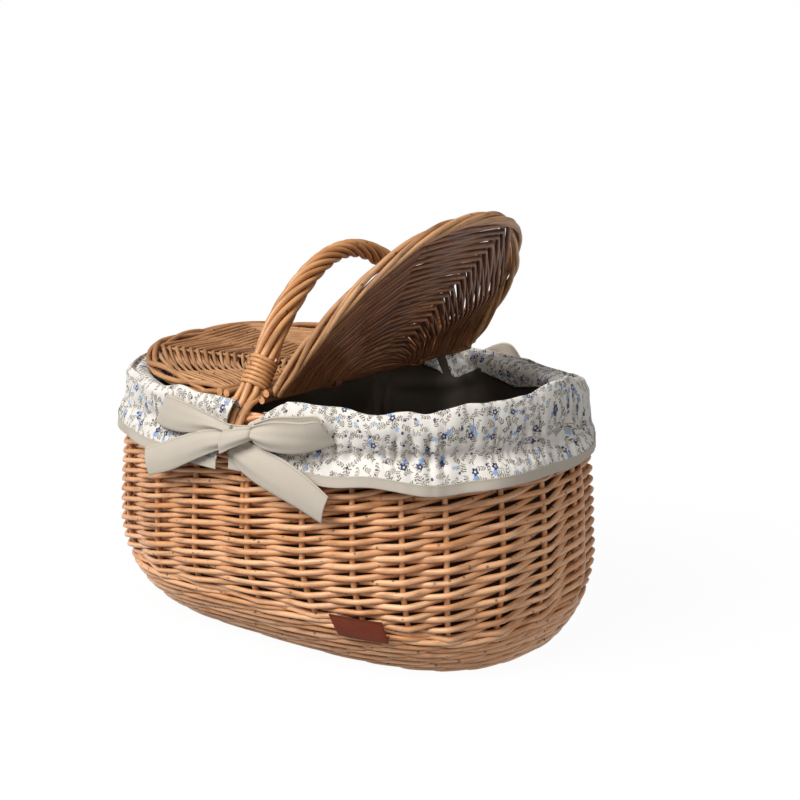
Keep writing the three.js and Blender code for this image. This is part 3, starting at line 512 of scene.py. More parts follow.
# %% Base
BASE_RINGS = 9
BASE_HEIGHT = 8.6
RING_START, RING_STEP = -16.5, 8.2
RING_RADIUS, RING_SWING = 2.9, 2.6
STICK_HEIGHT = 7.5
LONG_HALF, LONG_APART, LONG_RADIUS = 150, 30, 3.0
CROSS_HALF, CROSS_APART, CROSS_RADIUS = 82, 90, 4.2
round_places = np.linspace(0, 1, 193)[:-1]
base_paths = []
for ring in range(BASE_RINGS):
    flat = wall_point(round_places, 4.0, RING_START - RING_STEP * ring)
    flat[:, 2] = BASE_HEIGHT + RING_SWING * zigzag(24 * round_places + ring)
    base_paths.append(flat)
base_weave = rods(
    "base_weave_rods", base_paths, [RING_RADIUS] * BASE_RINGS, wall_willow, sides=6, closed=True)
finish_piece(base_weave, "basket", "willow", "base_weave")
stick_paths, stick_radii = [], []
for i in (-1, 0, 1):
    # the outer long sticks stop where the oval narrows
    end = LONG_HALF - 6 * abs(i)
    stick_paths.append([(-end, LONG_APART * i, STICK_HEIGHT), (end, LONG_APART * i, STICK_HEIGHT)])
    stick_radii.append(LONG_RADIUS)
for i in (-1, 0, 1):
    x = CROSS_APART * i
    stick_paths.append([(x, -CROSS_HALF, STICK_HEIGHT), (x, CROSS_HALF, STICK_HEIGHT)])
    stick_radii.append(CROSS_RADIUS)
base_sticks = rods("base_sticks", stick_paths, stick_radii, wall_willow)
names = [f"base_{way}_stick_{i}" for way in ("long", "cross") for i in (1, 2, 3)]
finish_piece(base_sticks, "basket", "willow", *names)

# %% [markdown]
# ## Handle
# The handle is a stout bow roped with seven thinner rods. They twist round it over the top and straighten
# towards the feet, where the outer ones run over the border and down behind the bow. Each path is worked out
# from the bow's own curve: a point on the bow, plus a turn round it that slows down to nothing at the feet,
# plus a fan that widens there. The two feet stand a few millimetres to either side of the middle, as the
# push of the roping leaves them. The rods taper towards their tips, so the rope is thinnest at the top.

# %% Shape of the handle
FOOT_SPAN = 154.6
ARCH_TOP = 347
ARCH_RISE = ARCH_TOP - BORDER_MIDDLE
PEAK = 0.9
SKEW = 0.06
FEET_APART = 5
TOP_SLIM = 0.74
ROPE_RADIUS = 8.4
FAN_WIDER, FAN_FLATTER = 5.2, 1.6


def ease(value, start, end):
    t = np.clip((value - start) / (end - start), 0, 1)
    return t * t * (3 - 2 * t)


def arch(s):
    drop = (np.sqrt(1 + (PEAK * s) ** 2) - 1) / (math.sqrt(1 + PEAK ** 2) - 1)
    aside = -FEET_APART * np.sign(s) * ease(np.abs(s), 0.58, 0.85)
    return np.stack([aside, FOOT_SPAN * (s - SKEW * (1 - s * s)), ARCH_TOP - ARCH_RISE * drop], axis=-1)


def arch_normal(s):
    slope = -ARCH_RISE * PEAK ** 2 * s / ((math.sqrt(1 + PEAK ** 2) - 1) * np.sqrt(1 + (PEAK * s) ** 2))
    normal = np.stack([0 * s, -slope, FOOT_SPAN * (1 + 2 * SKEW * s)], axis=-1)
    return normal / np.linalg.norm(normal, axis=-1, keepdims=True)


def slim(s):
    return TOP_SLIM + (1 - TOP_SLIM) * ease(np.abs(s), 0, 0.7)


def bundle(s, turn, grow=0.0):
    fan = ease(np.abs(s), 0.85, 1.0)
    wide = ROPE_RADIUS * slim(s) + FAN_WIDER * fan + grow
    deep = ROPE_RADIUS * slim(s) - FAN_FLATTER * fan + grow
    side = np.stack([wide * np.cos(turn), 0 * s, 0 * s], axis=-1)
    return arch(s) + side + (deep * np.sin(turn))[..., None] * arch_normal(s)


print("handle", 2 * FOOT_SPAN, "mm between the feet,", ARCH_TOP, "mm high at the bow")

# %% Roping rods and bow of the handle
ROPING = 7
ROPING_RADIUS = 3.1
HALF_TWIST = 7.5
FIRST_TURN = 0.35
ROPED_SHARE = 0.915
handle_paths, handle_radii = [], []
steps = np.linspace(-1, 1, 97) * ROPED_SHARE
for i in range(ROPING):
    turn = 2 * math.pi * i / ROPING + FIRST_TURN - HALF_TWIST * np.sin(math.pi / 2 * steps)
    path = bundle(steps, turn)
    radii = ROPING_RADIUS * slim(steps)
    for end in (0, -1):
        outside = math.sin(turn[end])
        out_of_wall = np.sign(path[end][1])
        x = path[end][0]
        if outside > -0.35:
            over = [(1.0, 155, 232.0 + outside), (0.95, 163.5, 224.5), (0.9, 169, 213), (0.9, 169.5, 198)]
            tail = [(x * fan, out_of_wall * y, z) for fan, y, z in over]
            tail_radii = [ROPING_RADIUS] * len(over)
            path = np.r_[tail[::-1], path] if end == 0 else np.r_[path, tail]
            radii = np.r_[tail_radii, radii] if end == 0 else np.r_[radii, tail_radii]
    handle_paths.append(path)
    handle_radii.append(radii)
handle_rods = rods("handle_rods", handle_paths, handle_radii, handle_willow, sides=10)
finish_piece(handle_rods, "basket", "willow", *[f"handle_rod_{i + 1}" for i in range(ROPING)])

CORE_SIDE = 12.6
CORE_RADIUS, CORE_TIP_RADIUS = 5.0, 2.9
core_down = np.linspace(122, 206, 10)
core_behind = -(body_at(core_down)[1] + STAKE_OFFSET)
core_foot = np.stack([0 * core_down + CORE_SIDE, core_behind, core_down], axis=-1)
bow_steps = np.linspace(-1, 1, 61)
core_path = np.r_[core_foot, arch(bow_steps), (core_foot * (-1, -1, 1))[::-1]]
tip_radii = [CORE_TIP_RADIUS] * len(core_down)
core_radii = np.r_[tip_radii, CORE_RADIUS * slim(bow_steps), tip_radii]
handle_core = rods("handle_bow", [core_path], [core_radii], handle_willow, sides=10)
finish_piece(handle_core, "basket", "willow", "handle_core")

# %% Cane bindings at the handle's feet
LEG = 270
BINDING_TURNS = 7
BINDING_START, BINDING_PITCH = 30.5, 4.3
BINDING_OUTSIDE = 3.0
CANE_RADIUS = 1.9
wound = np.linspace(0, BINDING_TURNS, BINDING_TURNS * 24 + 1)
from_foot = BINDING_START + BINDING_PITCH * wound
for side, place in ((-1, "front"), (1, "back")):
    winding = bundle(side * (1 - from_foot / LEG), 2 * math.pi * wound, grow=BINDING_OUTSIDE)
    name = "handle_binding_" + place
    binding = rods(name + "_cane", [winding], [CANE_RADIUS], handle_willow, sides=8, shades=[0.8])
    finish_piece(binding, "basket", "willow", name)

# %% [markdown]
# ## Hinge
# A bar lies between the feet of the handle. Each lid has a hinge stick beside it, and cane is lashed round
# the two in a few turns, tight enough to hold and loose enough to turn.

# %% Hinge bar and lashings
HINGE_HEIGHT = 234.7
HINGE_REACH = 21.0
BAR_HALF, BAR_RADIUS = 122, 6.0
ROUND_BAR, ROUND_STICK = 7.4, 4.9
LASH_APART = 60
LASH_RADIUS = 1.25
bar_path = [(0, y, HINGE_HEIGHT) for y in np.linspace(-BAR_HALF, BAR_HALF, 9)]
bar = rods("hinge_bar_rod", [bar_path], [BAR_RADIUS], handle_willow, sides=12)
finish_piece(bar, "basket", "willow", "hinge_bar")
around_bar = np.linspace(0.5 * math.pi, 1.5 * math.pi, 9)
around_stick = np.linspace(-0.5 * math.pi, 0.5 * math.pi, 9)
lash_x = np.r_[ROUND_BAR * np.cos(around_bar), HINGE_REACH + ROUND_STICK * np.cos(around_stick)]
lash_z = np.r_[ROUND_BAR * np.sin(around_bar), ROUND_STICK * np.sin(around_stick)]
for lid, way, stagger in (("left", -1, -10), ("right", 1, 10)):
    for place, side in (("front", -1), ("back", 1)):
        turns_of_cane = []
        for lash in (-2.4, 0, 2.4):
            y = np.full(len(lash_x), side * LASH_APART + stagger + lash)
            turns_of_cane.append(np.stack([way * lash_x, y, HINGE_HEIGHT + lash_z], axis=-1))
        name = f"hinge_loop_{lid}_{place}"
        # the lashings take the willow with painted shade
        lashing = rods(name + "_cane", turns_of_cane, [LASH_RADIUS] * 3, shaded_willow, sides=6, closed=True)
        finish_piece(lashing, "basket", "willow", name)

# %% [markdown]
# ## Lids
# Each half lid is a fan of ribs from the hinge, woven across in arcs that kink at every rib, with a thick
# border of five rods round the outside, loosely plaited on the left lid and roped on the right one. Both
# lids are worked out flat, with the hinge axis as the origin, and each point is then turned to its place:
# the left lid lies closed, the right one stands open at 52 degrees. The rods thin out towards the hinge,
# where the arcs crowd together under the edge stick.

# %% Shape of the lids
LID_LENGTH, LID_WIDTH, LID_SQUARENESS = 193.0, 284.0, 2.4
LID_OPEN = math.radians(52)
LID_STRETCH = {"left": 0.975, "right": 1.015}
LID_BENT = {"left": 3.0, "right": 2.5}
# the right lid stands open, so its weave and sticks take the willow with painted shade
LID_TONE = {"left": lid_willow, "right": shaded_willow}
PANEL_START, PANEL_INSET, FAN_START = 5.0, 5.0, 0.26
RIB_SHARES = np.array([0.125, 0.375, 0.625, 0.875])


def on_lid(side, points):
    u, v, w = np.asarray(points, float).T
    u, w = LID_STRETCH[side] * u, w + LID_BENT[side] * (u / LID_LENGTH) ** 2
    if side == "left":
        return np.stack([-HINGE_REACH - u, -v, HINGE_HEIGHT + w], axis=-1)
    c, s = math.cos(LID_OPEN), math.sin(LID_OPEN)
    return np.stack([HINGE_REACH + c * u - s * w, v, HINGE_HEIGHT + s * u + c * w], axis=-1)


def lid_outline(inset, angle):
    return oval(LID_LENGTH - inset, LID_WIDTH / 2 - inset, LID_SQUARENESS, angle)


def lid_angle(reach, inset):
    return math.acos((reach / (LID_LENGTH - inset)) ** (LID_SQUARENESS / 2))


panel_end = lid_angle(PANEL_START, PANEL_INSET)


def panel_point(share, f):
    edge_u, edge_v = lid_outline(PANEL_INSET, (2 * share - 1) * panel_end)
    fan = (2 * share - 1) * FAN_START * (LID_WIDTH / 2 - PANEL_INSET)
    return PANEL_START + (edge_u - PANEL_START) * f, fan + (edge_v - fan) * f


print("half lid", LID_LENGTH, "by", LID_WIDTH, "mm with", len(RIB_SHARES), "ribs")

# %% Weave of a lid
LID_ROWS = 46
ROW_BOW = 0.15
ROD_FULL = {"left": 0.48, "right": 0.62}
RELIEF = {"left": 2.8, "right": 1.9}
UNDER_STICK = 3.0
knots = np.r_[0, RIB_SHARES, 1]
across = np.unique(np.r_[np.linspace(0, 1, 41), knots, RIB_SHARES - 0.012, RIB_SHARES + 0.012])


def lid_weave(side):
    weave, thin = [], []
    for row in range(LID_ROWS):
        f = (row + 0.5 + 0.15 * dice.normal()) / LID_ROWS
        knot_u, knot_v = panel_point(knots, f)
        here_u, here_v = panel_point(across, f)
        u = (1 - ROW_BOW) * np.interp(across, knots, knot_u) + ROW_BOW * here_u
        v = (1 - ROW_BOW) * np.interp(across, knots, knot_v) + ROW_BOW * here_v
        uneven = np.interp(across, np.linspace(0, 1, 12), wobble(12, 0.25))
        lift = RELIEF[side] * zigzag(4 * across - 0.5 + row) * ease(u, 6, 40)
        lift = lift - UNDER_STICK * (1 - ease(u, 8, 30)) + uneven
        weave.append(on_lid(side, np.c_[u, v, lift]))
        ahead_u, ahead_v = panel_point(across, f + 0.01)
        pitch = np.hypot(ahead_u - here_u, ahead_v - here_v) / 0.01 / LID_ROWS
        thin.append(np.clip(ROD_FULL[side] * pitch, 0.85, 2.4) * (1 + 0.1 * dice.normal()))
    piece = rods(side + "_lid_weave_rods", weave, thin, LID_TONE[side], sides=8)
    finish_piece(piece, side + "_lid", "willow", side + "_lid_weave")


# %% Ribs and sticks of a lid
EDGE_STICK_REACH = 8.5
RIB_RADIUS, STICK_RADIUS = 2.0, 3.5
STICK_HALF = LID_WIDTH / 2 + 5


def lid_sticks(side):
    paths = []
    for share in RIB_SHARES:
        (u0, v0), (u1, v1) = panel_point(share, 0.0), panel_point(share, 1.0)
        paths.append(on_lid(side, [(4.0, v0 * 0.93, 0), (u0, v0, 0), (u1, v1, 0)]))
    for reach in (0.0, EDGE_STICK_REACH):
        paths.append(on_lid(side, [(reach, v, 0) for v in (-STICK_HALF, 0, STICK_HALF)]))
    radii = [RIB_RADIUS] * 4 + [STICK_RADIUS] * 2
    piece = rods(side + "_lid_sticks", paths, radii, LID_TONE[side], sides=10)
    # the cut ends show pale wood
    piece.data.materials.append(wall_willow)
    for face in piece.data.polygons:
        face.material_index = int(len(face.vertices) > 4)
    ribs = [f"{side}_lid_rib_{i}" for i in (1, 2, 3, 4)]
    finish_piece(
        piece, side + "_lid", "willow", side + "_lid_hinge_stick", side + "_lid_edge_stick", *ribs)


# %% Border of a lid
LID_BORDER_INSET = 6.0
LID_BORDER_RADII = [2.5, 2.3, 2.6, 2.2, 2.5]
LID_BORDER_WIDE, LID_BORDER_TALL = 3.1, 3.9
LID_BORDER_LAY = 220
# how far the border droops at the two sides of the lid
HANGS_BY = {"left": 4.2, "right": 3.0}
# -1 sends every other rod the other way round, as in a plait, and 1 lays them all one way, as in a rope
PLAITED = {"left": -1, "right": 1}


def lid_border(side):
    sweep = np.linspace(-1, 1, 181) * lid_angle(EDGE_STICK_REACH, LID_BORDER_INSET)
    edge_u, edge_v = lid_outline(LID_BORDER_INSET, sweep)
    run = np.r_[0, np.cumsum(np.hypot(np.diff(edge_u), np.diff(edge_v)))]
    outward = np.stack([np.gradient(edge_v), -np.gradient(edge_u)], axis=-1)
    outward /= np.linalg.norm(outward, axis=1, keepdims=True)
    hang = (np.abs(edge_v) / (LID_WIDTH / 2)) ** 2
    tucked = 0.6 + 0.4 * ease(np.minimum(run, run[-1] - run), 0, 30)
    hangs_by = HANGS_BY[side]
    tall = LID_BORDER_TALL + 0.5 * hangs_by * hang
    count = len(LID_BORDER_RADII)
    strands = []
    for strand in range(count):
        lay = 2 * math.pi * (strand / count + PLAITED[side] ** strand * run / LID_BORDER_LAY)
        lay = lay + np.interp(run, np.linspace(0, run[-1], 16), wobble(16, 0.3))
        away_by = LID_BORDER_WIDE * np.cos(lay)
        up = 0.6 - hangs_by * hang + tall * tucked * np.sin(lay)
        flat = np.c_[edge_u + outward[:, 0] * away_by, edge_v + outward[:, 1] * away_by, up]
        strands.append(on_lid(side, flat))
    piece = rods(side + "_lid_border_rods", strands, LID_BORDER_RADII, lid_willow, sides=8)
    finish_piece(piece, side + "_lid", "willow", side + "_lid_border")


# %% Both lids
for side in ("left", "right"):
    lid_weave(side)
    lid_sticks(side)
    lid_border(side)

# %% [markdown]
# ## Plain cloth
# The hems and the bows are plain cotton in a warm grey, woven evenly and pressed flat. The liner is the same
# cloth with painted shade: a dark tone that stands in for the shade inside the basket. Close up it shows a
# fine thread and a line of topstitching along the edges. The pieces carry a UV map in metres, measured on the
# flat cloth from the middle of a ribbon, so the stitches stay beside the edge however the ribbon bends.

# %% What both cloths share
COTTON_IOR = 1.46


def flat_in_mm(tree):
    flat = add(tree, "UVMap", uv_map="cloth")
    in_mm = add(tree, "VectorMath", {0: flat.outputs[0], 1: (1000, 1000, 1000)}, operation="MULTIPLY")
    return in_mm.outputs[0]


def woven_threads(tree, in_mm, scale, stray):
    warp, weft = (
        add(tree, "TexWave", {"Vector": in_mm, "Scale": scale, "Distortion": stray, "Detail": 2.0},
            bands_direction=way)
        for way in ("X", "Y"))
    return add(tree, "Math", {0: warp.outputs["Fac"], 1: weft.outputs["Fac"]}, operation="MULTIPLY")


def cotton_surface(tree, base, relief, strength, depth, roughness, sheen):
    bump = add(tree, "Bump", {"Strength": strength, "Distance": depth * MM, "Height": relief.outputs[0]})
    shell = add(tree, "BsdfPrincipled", {
        "Base Color": base.outputs[2],
        "Roughness": roughness,
        "Normal": bump.outputs[0],
        "IOR": COTTON_IOR,
        "Sheen Weight": sheen,
        "Sheen Roughness": 0.5,
    })
    add(tree, "OutputMaterial", {"Surface": shell.outputs[0]})


# %% Plain cloth material
RIBBON_HALF = 18.5
STITCH_LINE = RIBBON_HALF - 2.4
STITCH_LONG = 2.6
# at this scale of the wave the threads are 0.7 mm apart, coarser than real ones so that they show
PLAIN_THREADS = 0.45


def plain_cloth(name, light, shade):
    material, tree = new_material(name)
    in_mm = flat_in_mm(tree)
    part = add(tree, "SeparateXYZ", {0: in_mm})
    threads = woven_threads(tree, in_mm, PLAIN_THREADS, 1.2)
    cloudy = add(tree, "TexNoise", {"Vector": in_mm, "Scale": 0.06, "Detail": 3.0})
    tone = add(tree, "Math", {0: threads.outputs[0], 1: cloudy.outputs["Fac"]}, operation="MULTIPLY")
    tone = add(tree, "MapRange", {0: tone.outputs[0], 1: 0.0, 2: 0.55, 3: 0.25, 4: 1.0})
    base = add(tree, "Mix", {0: tone.outputs[0], 6: colour(shade), 7: colour(light)}, data_type="RGBA")
    # topstitching: a line beside the edge, broken into stitches
    edge = add(tree, "Math", {0: part.outputs["Y"]}, operation="ABSOLUTE")
    near = add(tree, "Math", {0: edge.outputs[0], 1: STITCH_LINE}, operation="SUBTRACT")
    near = add(tree, "Math", {0: near.outputs[0]}, operation="ABSOLUTE")
    line = add(tree, "MapRange", {0: near.outputs[0], 1: 0.25, 2: 0.6, 3: 1.0, 4: 0.0})
    step = add(tree, "Math", {0: part.outputs["X"], 1: STITCH_LONG, 2: 0.0}, operation="WRAP")
    dash = add(tree, "MapRange", {0: step.outputs[0], 1: 0.35, 2: 0.7, 3: 0.35, 4: 1.0})
    stitch = add(tree, "Math", {0: line.outputs[0], 1: dash.outputs[0]}, operation="MULTIPLY")
    sunk = add(tree, "Math", {0: stitch.outputs[0], 1: 0.45}, operation="MULTIPLY")
    stitched = {0: sunk.outputs[0], 6: base.outputs[2], 7: colour("#8d8475")}
    base = add(tree, "Mix", stitched, data_type="RGBA")
    relief = add(tree, "Math", {0: threads.outputs[0], 1: stitch.outputs[0]}, operation="SUBTRACT")
    cotton_surface(tree, base, relief, strength=0.22, depth=0.25, roughness=0.88, sheen=0.12)
    return material


grey_cotton = plain_cloth("plain_woven_cotton", "#cfc4b5", "#b9ae9e")
# the liner's dark tone is painted shade, standing in for the shade inside the basket
liner_painted_shade_cotton = plain_cloth("plain_woven_cotton_painted_shade", "#463c2f", "#352d22")
print("plain cotton, stitched", STITCH_LINE, "mm from the middle of a ribbon")

# %% [markdown]
# ## Printed cloth
# The turned-over skirt is white cotton with a small scattered flower print: dark blue flowers with an open
# eye, pale blue blossoms, round buds and short taupe sprigs. Each kind is one layer of cells, where a cell's
# middle is the place of one motif and its random colour decides whether and how it is drawn. The distances
# are in millimetres on the flat cloth, so the print bends with the folds.

# %% Motifs of the print
SPRIG_LEAF = (1.3, 0.5)
LEAF_ASIDE = 1.15
SPRIG_STEP = 2.2
SPRIG_HALF = 2 * SPRIG_STEP
SPRIG_SPREAD = math.radians(48)


def flower(tree, local, petals, reach, wave, eye):
    part = add(tree, "SeparateXYZ", {0: local.outputs[0]})
    away = add(tree, "VectorMath", {0: local.outputs[0]}, operation="LENGTH")
    angle = add(tree, "Math", {0: part.outputs["Y"], 1: part.outputs["X"]}, operation="ARCTAN2")
    beat = add(tree, "Math", {0: angle.outputs[0], 1: float(petals)}, operation="MULTIPLY")
    beat = add(tree, "Math", {0: beat.outputs[0]}, operation="COSINE")
    rim = add(tree, "Math", {0: beat.outputs[0], 1: wave, 2: reach}, operation="MULTIPLY_ADD")
    inside = add(tree, "Math", {0: rim.outputs[0], 1: away.outputs[1]}, operation="SUBTRACT")
    shape = add(tree, "MapRange", {0: inside.outputs[0], 1: -0.15, 2: 0.25})
    if eye:
        hole = add(tree, "MapRange", {0: away.outputs[1], 1: eye - 0.2, 2: eye + 0.25})
        shape = add(tree, "Math", {0: shape.outputs[0], 1: hole.outputs[0]}, operation="MULTIPLY")
    return shape


def sprig(tree, local):
    # a thin stem with pairs of small leaves along it
    part = add(tree, "SeparateXYZ", {0: local.outputs[0]})
    stepped = add(tree, "Math", {0: part.outputs["X"], 1: SPRIG_STEP, 2: 0.0}, operation="WRAP")
    mirrored = add(tree, "Math", {0: part.outputs["Y"]}, operation="ABSOLUTE")
    leaf = add(tree, "CombineXYZ", {0: stepped.outputs[0], 1: mirrored.outputs[0], 2: 0.0})
    leaf_middle = (0.5 * SPRIG_STEP, LEAF_ASIDE, 0)
    leaf = add(tree, "VectorMath", {0: leaf.outputs[0], 1: leaf_middle}, operation="SUBTRACT")
    spread = {"Vector": leaf.outputs[0], "Angle": -SPRIG_SPREAD}
    leaf = add(tree, "VectorRotate", spread, rotation_type="Z_AXIS")
    leaf = add(tree, "VectorMath", {0: leaf.outputs[0], 1: (*SPRIG_LEAF, 1)}, operation="DIVIDE")
    away = add(tree, "VectorMath", {0: leaf.outputs[0]}, operation="LENGTH")
    shape = add(tree, "MapRange", {0: away.outputs[1], 1: 0.75, 2: 1.15, 3: 1.0, 4: 0.0})
    stem = add(tree, "MapRange", {0: mirrored.outputs[0], 1: 0.1, 2: 0.3, 3: 0.8, 4: 0.0})
    shape = add(tree, "Math", {0: shape.outputs[0], 1: stem.outputs[0]}, operation="MAXIMUM")
    from_middle = add(tree, "Math", {0: part.outputs["X"]}, operation="ABSOLUTE")
    within = add(tree, "Math", {0: from_middle.outputs[0], 1: SPRIG_HALF}, operation="LESS_THAN")
    return add(tree, "Math", {0: shape.outputs[0], 1: within.outputs[0]}, operation="MULTIPLY")


def scattered(tree, cloth, spacing, shift, rarity, aside, petals):
    moved = add(tree, "VectorMath", {0: cloth, 1: (shift, 2.3 * shift, 0)}, operation="ADD")
    cells = {"Vector": moved.outputs[0], "Scale": 1 / spacing, "Randomness": 0.8}
    cell = add(tree, "TexVoronoi", cells, voronoi_dimensions="2D")
    luck = add(tree, "SeparateColor", {0: cell.outputs["Color"]})
    from_cell = {0: moved.outputs[0], 1: cell.outputs["Position"]}
    local = add(tree, "VectorMath", from_cell, operation="SUBTRACT")
    turn = add(tree, "Math", {0: luck.outputs[1], 1: 6.28}, operation="MULTIPLY")
    turned = {"Vector": local.outputs[0], "Angle": turn.outputs[0]}
    local = add(tree, "VectorRotate", turned, rotation_type="Z_AXIS")
    local = add(tree, "VectorMath", {0: local.outputs[0], 1: (aside, 0, 0)}, operation="SUBTRACT")
    shape = flower(tree, local, *petals) if petals else sprig(tree, local)
    drawn = add(tree, "Math", {0: luck.outputs[0], 1: rarity}, operation="GREATER_THAN")
    return add(tree, "Math", {0: shape.outputs[0], 1: drawn.outputs[0]}, operation="MULTIPLY")


# %% Printed cloth material
# at this scale of the wave the threads are 0.6 mm apart, again coarser than real ones
PRINT_THREADS = 0.5
# ink, cover, spacing, shift, rarity and place aside, and for a flower its petals, reach, wave and eye
PRINT_LAYERS = (
    ("#574d42", 0.95, 9.5, 3.0, 0.1, 0.0, None),
    ("#7d7265", 0.9, 11.5, 17.0, 0.3, 0.0, None),
    ("#7f9ccb", 0.95, 25.0, 41.0, 0.2, 5.0, (5, 2.3, 0.6, 0.0)),
    ("#93b0d6", 0.9, 19.0, 5.0, 0.6, 0.0, (5, 2.0, 0.5, 0.0)),
    ("#262b5c", 0.95, 14.0, 29.0, 0.4, 0.0, (6, 1.35, 0.2, 0.0)),
    ("#1f2558", 0.97, 25.0, 41.0, 0.2, 0.0, (5, 2.9, 0.5, 1.0)),
)


def printed_cloth(name):
    material, tree = new_material(name)
    in_mm = flat_in_mm(tree)
    # the sprigs are drawn on a slightly warped cloth, so their stems bend
    stray = add(tree, "TexNoise", {"Vector": in_mm, "Scale": 0.2, "Detail": 1.0})
    stray = add(tree, "VectorMath", {0: stray.outputs["Color"], 1: (5, 5, 0)}, operation="MULTIPLY")
    loose = add(tree, "VectorMath", {0: in_mm, 1: stray.outputs[0]}, operation="ADD")
    slub = add(tree, "TexNoise", {"Vector": in_mm, "Scale": 0.25, "Detail": 3.0})
    whites = {0: slub.outputs["Fac"], 6: colour("#e6e1d9"), 7: colour("#dbd5cc")}
    base = add(tree, "Mix", whites, data_type="RGBA")
    for ink, cover, *layout, petals in PRINT_LAYERS:
        mask = scattered(tree, in_mm if petals else loose.outputs[0], *layout, petals)
        depth = add(tree, "Math", {0: mask.outputs[0], 1: cover}, operation="MULTIPLY")
        inked = {0: depth.outputs[0], 6: base.outputs[2], 7: colour(ink)}
        base = add(tree, "Mix", inked, data_type="RGBA")
    threads = woven_threads(tree, in_mm, PRINT_THREADS, 1.0)
    cotton_surface(tree, base, threads, strength=0.12, depth=0.2, roughness=0.9, sheen=0.1)
    return material


flower_cotton = printed_cloth("printed_cotton")
print("printed cotton with", len(PRINT_LAYERS), "layers of motifs")

# %% [markdown]
# ## How a cloth piece is made
# A sheet starts as a grid from bmesh. A function then puts each of its points in place from two numbers, how
# far along and how far across the cloth it lies, and a second one gives its place on the flat cloth for the
# UV map. Curves through a few given points come from one smooth interpolation.


# %% Cloth helpers
def through(points, t):
    points = np.asarray(points, float)
    last = len(points) - 1
    s = np.clip(t, 0, 1) * last
    i = np.clip(s.astype(int), 0, last - 1)
    f = (s - i)[..., None]
    a, b = points[np.maximum(i - 1, 0)], points[i]
    c, d = points[i + 1], points[np.minimum(i + 2, last)]
    square = (2 * a - 5 * b + 4 * c - d) * f ** 2
    cube = (3 * b - a - 3 * c + d) * f ** 3
    return 0.5 * (2 * b + (c - a) * f + square + cube)


def ripple(run, wavelength, seed):
    count = int(np.max(run) / wavelength * 2) + 6
    heights = np.random.default_rng(seed).normal(0, 1, (count, 1))
    return through(heights, run / (wavelength / 2 * (count - 1)))[..., 0]


def cloth_piece(name, columns, rows, place, flat, material, thickness, closed=False, flip=False):
    bm = bmesh.new()
    bmesh.ops.create_grid(bm, x_segments=columns, y_segments=rows, size=0.5)
    at = np.array([vert.co[:2] for vert in bm.verts]) + 0.5
    spots = place(at[:, 0], at[:, 1]) * MM
    for vert, spot in zip(bm.verts, spots):
        vert.co = spot
    if flip:
        bmesh.ops.reverse_faces(bm, faces=bm.faces)
    bm.verts.index_update()
    uv = bm.loops.layers.uv.new("cloth")
    on_cloth = flat(at[:, 0], at[:, 1]) * MM
    for face in bm.faces:
        face.smooth = True
        for loop in face.loops:
            loop[uv].uv = on_cloth[loop.vert.index]
    if closed:
        bmesh.ops.remove_doubles(bm, verts=bm.verts, dist=0.02 * MM)
    mesh = bpy.data.meshes.new(name)
    bm.to_mesh(mesh)
    bm.free()
    mesh.materials.append(material)
    piece = bpy.data.objects.new(name, mesh)
    scene.collection.objects.link(piece)
    if thickness:
        solid = piece.modifiers.new("thickness", "SOLIDIFY")
        solid.thickness = thickness * MM
        solid.offset = 0
    area = sum(face.area for face in mesh.polygons)
    print(name, len(mesh.polygons), "faces,", round(area * 1e4), "cm2")
    return piece, area


# %% [markdown]
# ## Liner
# The liner is a bag that hangs inside the wall and lies on the base. Its cloth is loose, so a few soft
# upright folds run down from the seam under the rim, with two sharper ridges and one swag at the back.

# %% Liner
LINER_OFFSET = -17.0
LINER_TOP, LINER_FLOOR = 221.0, 17.0
WALL_PART, FLOOR_PART = 0.8, 0.2
RIDGES = (0.5617, 0.5732)
SWAG_SHARES = [0.465, 0.479, 0.493, 0.523, 0.55]
SWAG_HEIGHTS = [212, 204.5, 197, 190, 186.5]


def liner_place(u, v):
    down = np.clip(v / WALL_PART, 0, 1)
    inward = np.clip((v - WALL_PART) / FLOOR_PART, 0, 1)
    height = LINER_TOP + (LINER_FLOOR - LINER_TOP) * down
    slack = np.sin(math.pi * down ** 0.8) * ease(-height, -200, -165)
    slant = (u * GIRTH + 0.5 * (height - 120)) % GIRTH
    folds = 3.0 * ripple(slant, 55, 11) - 7.0 * np.abs(ripple(slant, 110, 12)) ** 1.3
    folds = folds * slack * ease(np.minimum(u, 1 - u), 0.05, 0.1)
    for ridge in RIDGES:
        folds = folds - 10.0 * ease(-np.abs(u - ridge - 0.0001 * (height - 170)), -0.006, 0) * slack
    swag = np.interp(u, SWAG_SHARES, SWAG_HEIGHTS)
    hung = ease(u, 0.462, 0.47) * ease(-u, -0.6, -0.54)
    folds = folds - 5.0 * hung * ease(-np.abs(height - swag), -9, 0)
    spot = wall_point(u, np.maximum(height, 4), LINER_OFFSET + np.minimum(folds, 0.0))
    spot[:, :2] *= (1 - inward)[:, None]
    spot[:, 2] = height + 1.5 * inward * np.cos(3 * math.pi * u) ** 2
    return spot


# the liner is drawn in the plain cotton with painted shade, a dark tone for the shade inside the basket
liner, liner_area = cloth_piece(
    "liner_bag_cloth", 520, 60, liner_place, lambda u, v: np.c_[u * GIRTH, 40 + v * 300], liner_painted_shade_cotton,
    closed=True, thickness=0)
finish_piece(liner, "basket", "plain_cloth", "liner_bag")

# %% [markdown]
# ## Skirts
# The printed cloth comes up inside the wall, rolls over the rim in a soft puff, is drawn in by an elastic
# just below the border, and hangs from there as a short ruffle to the hem. The profile of one cut through it
# is a curve through fourteen points. Round the basket this profile changes slowly with the height of the
# puff and of the hem, and folds are laid over it: close pleats at the elastic, broad soft waves in the puff
# and the ruffle. The skirt is split at both feet of the handle, where the bow ties it.

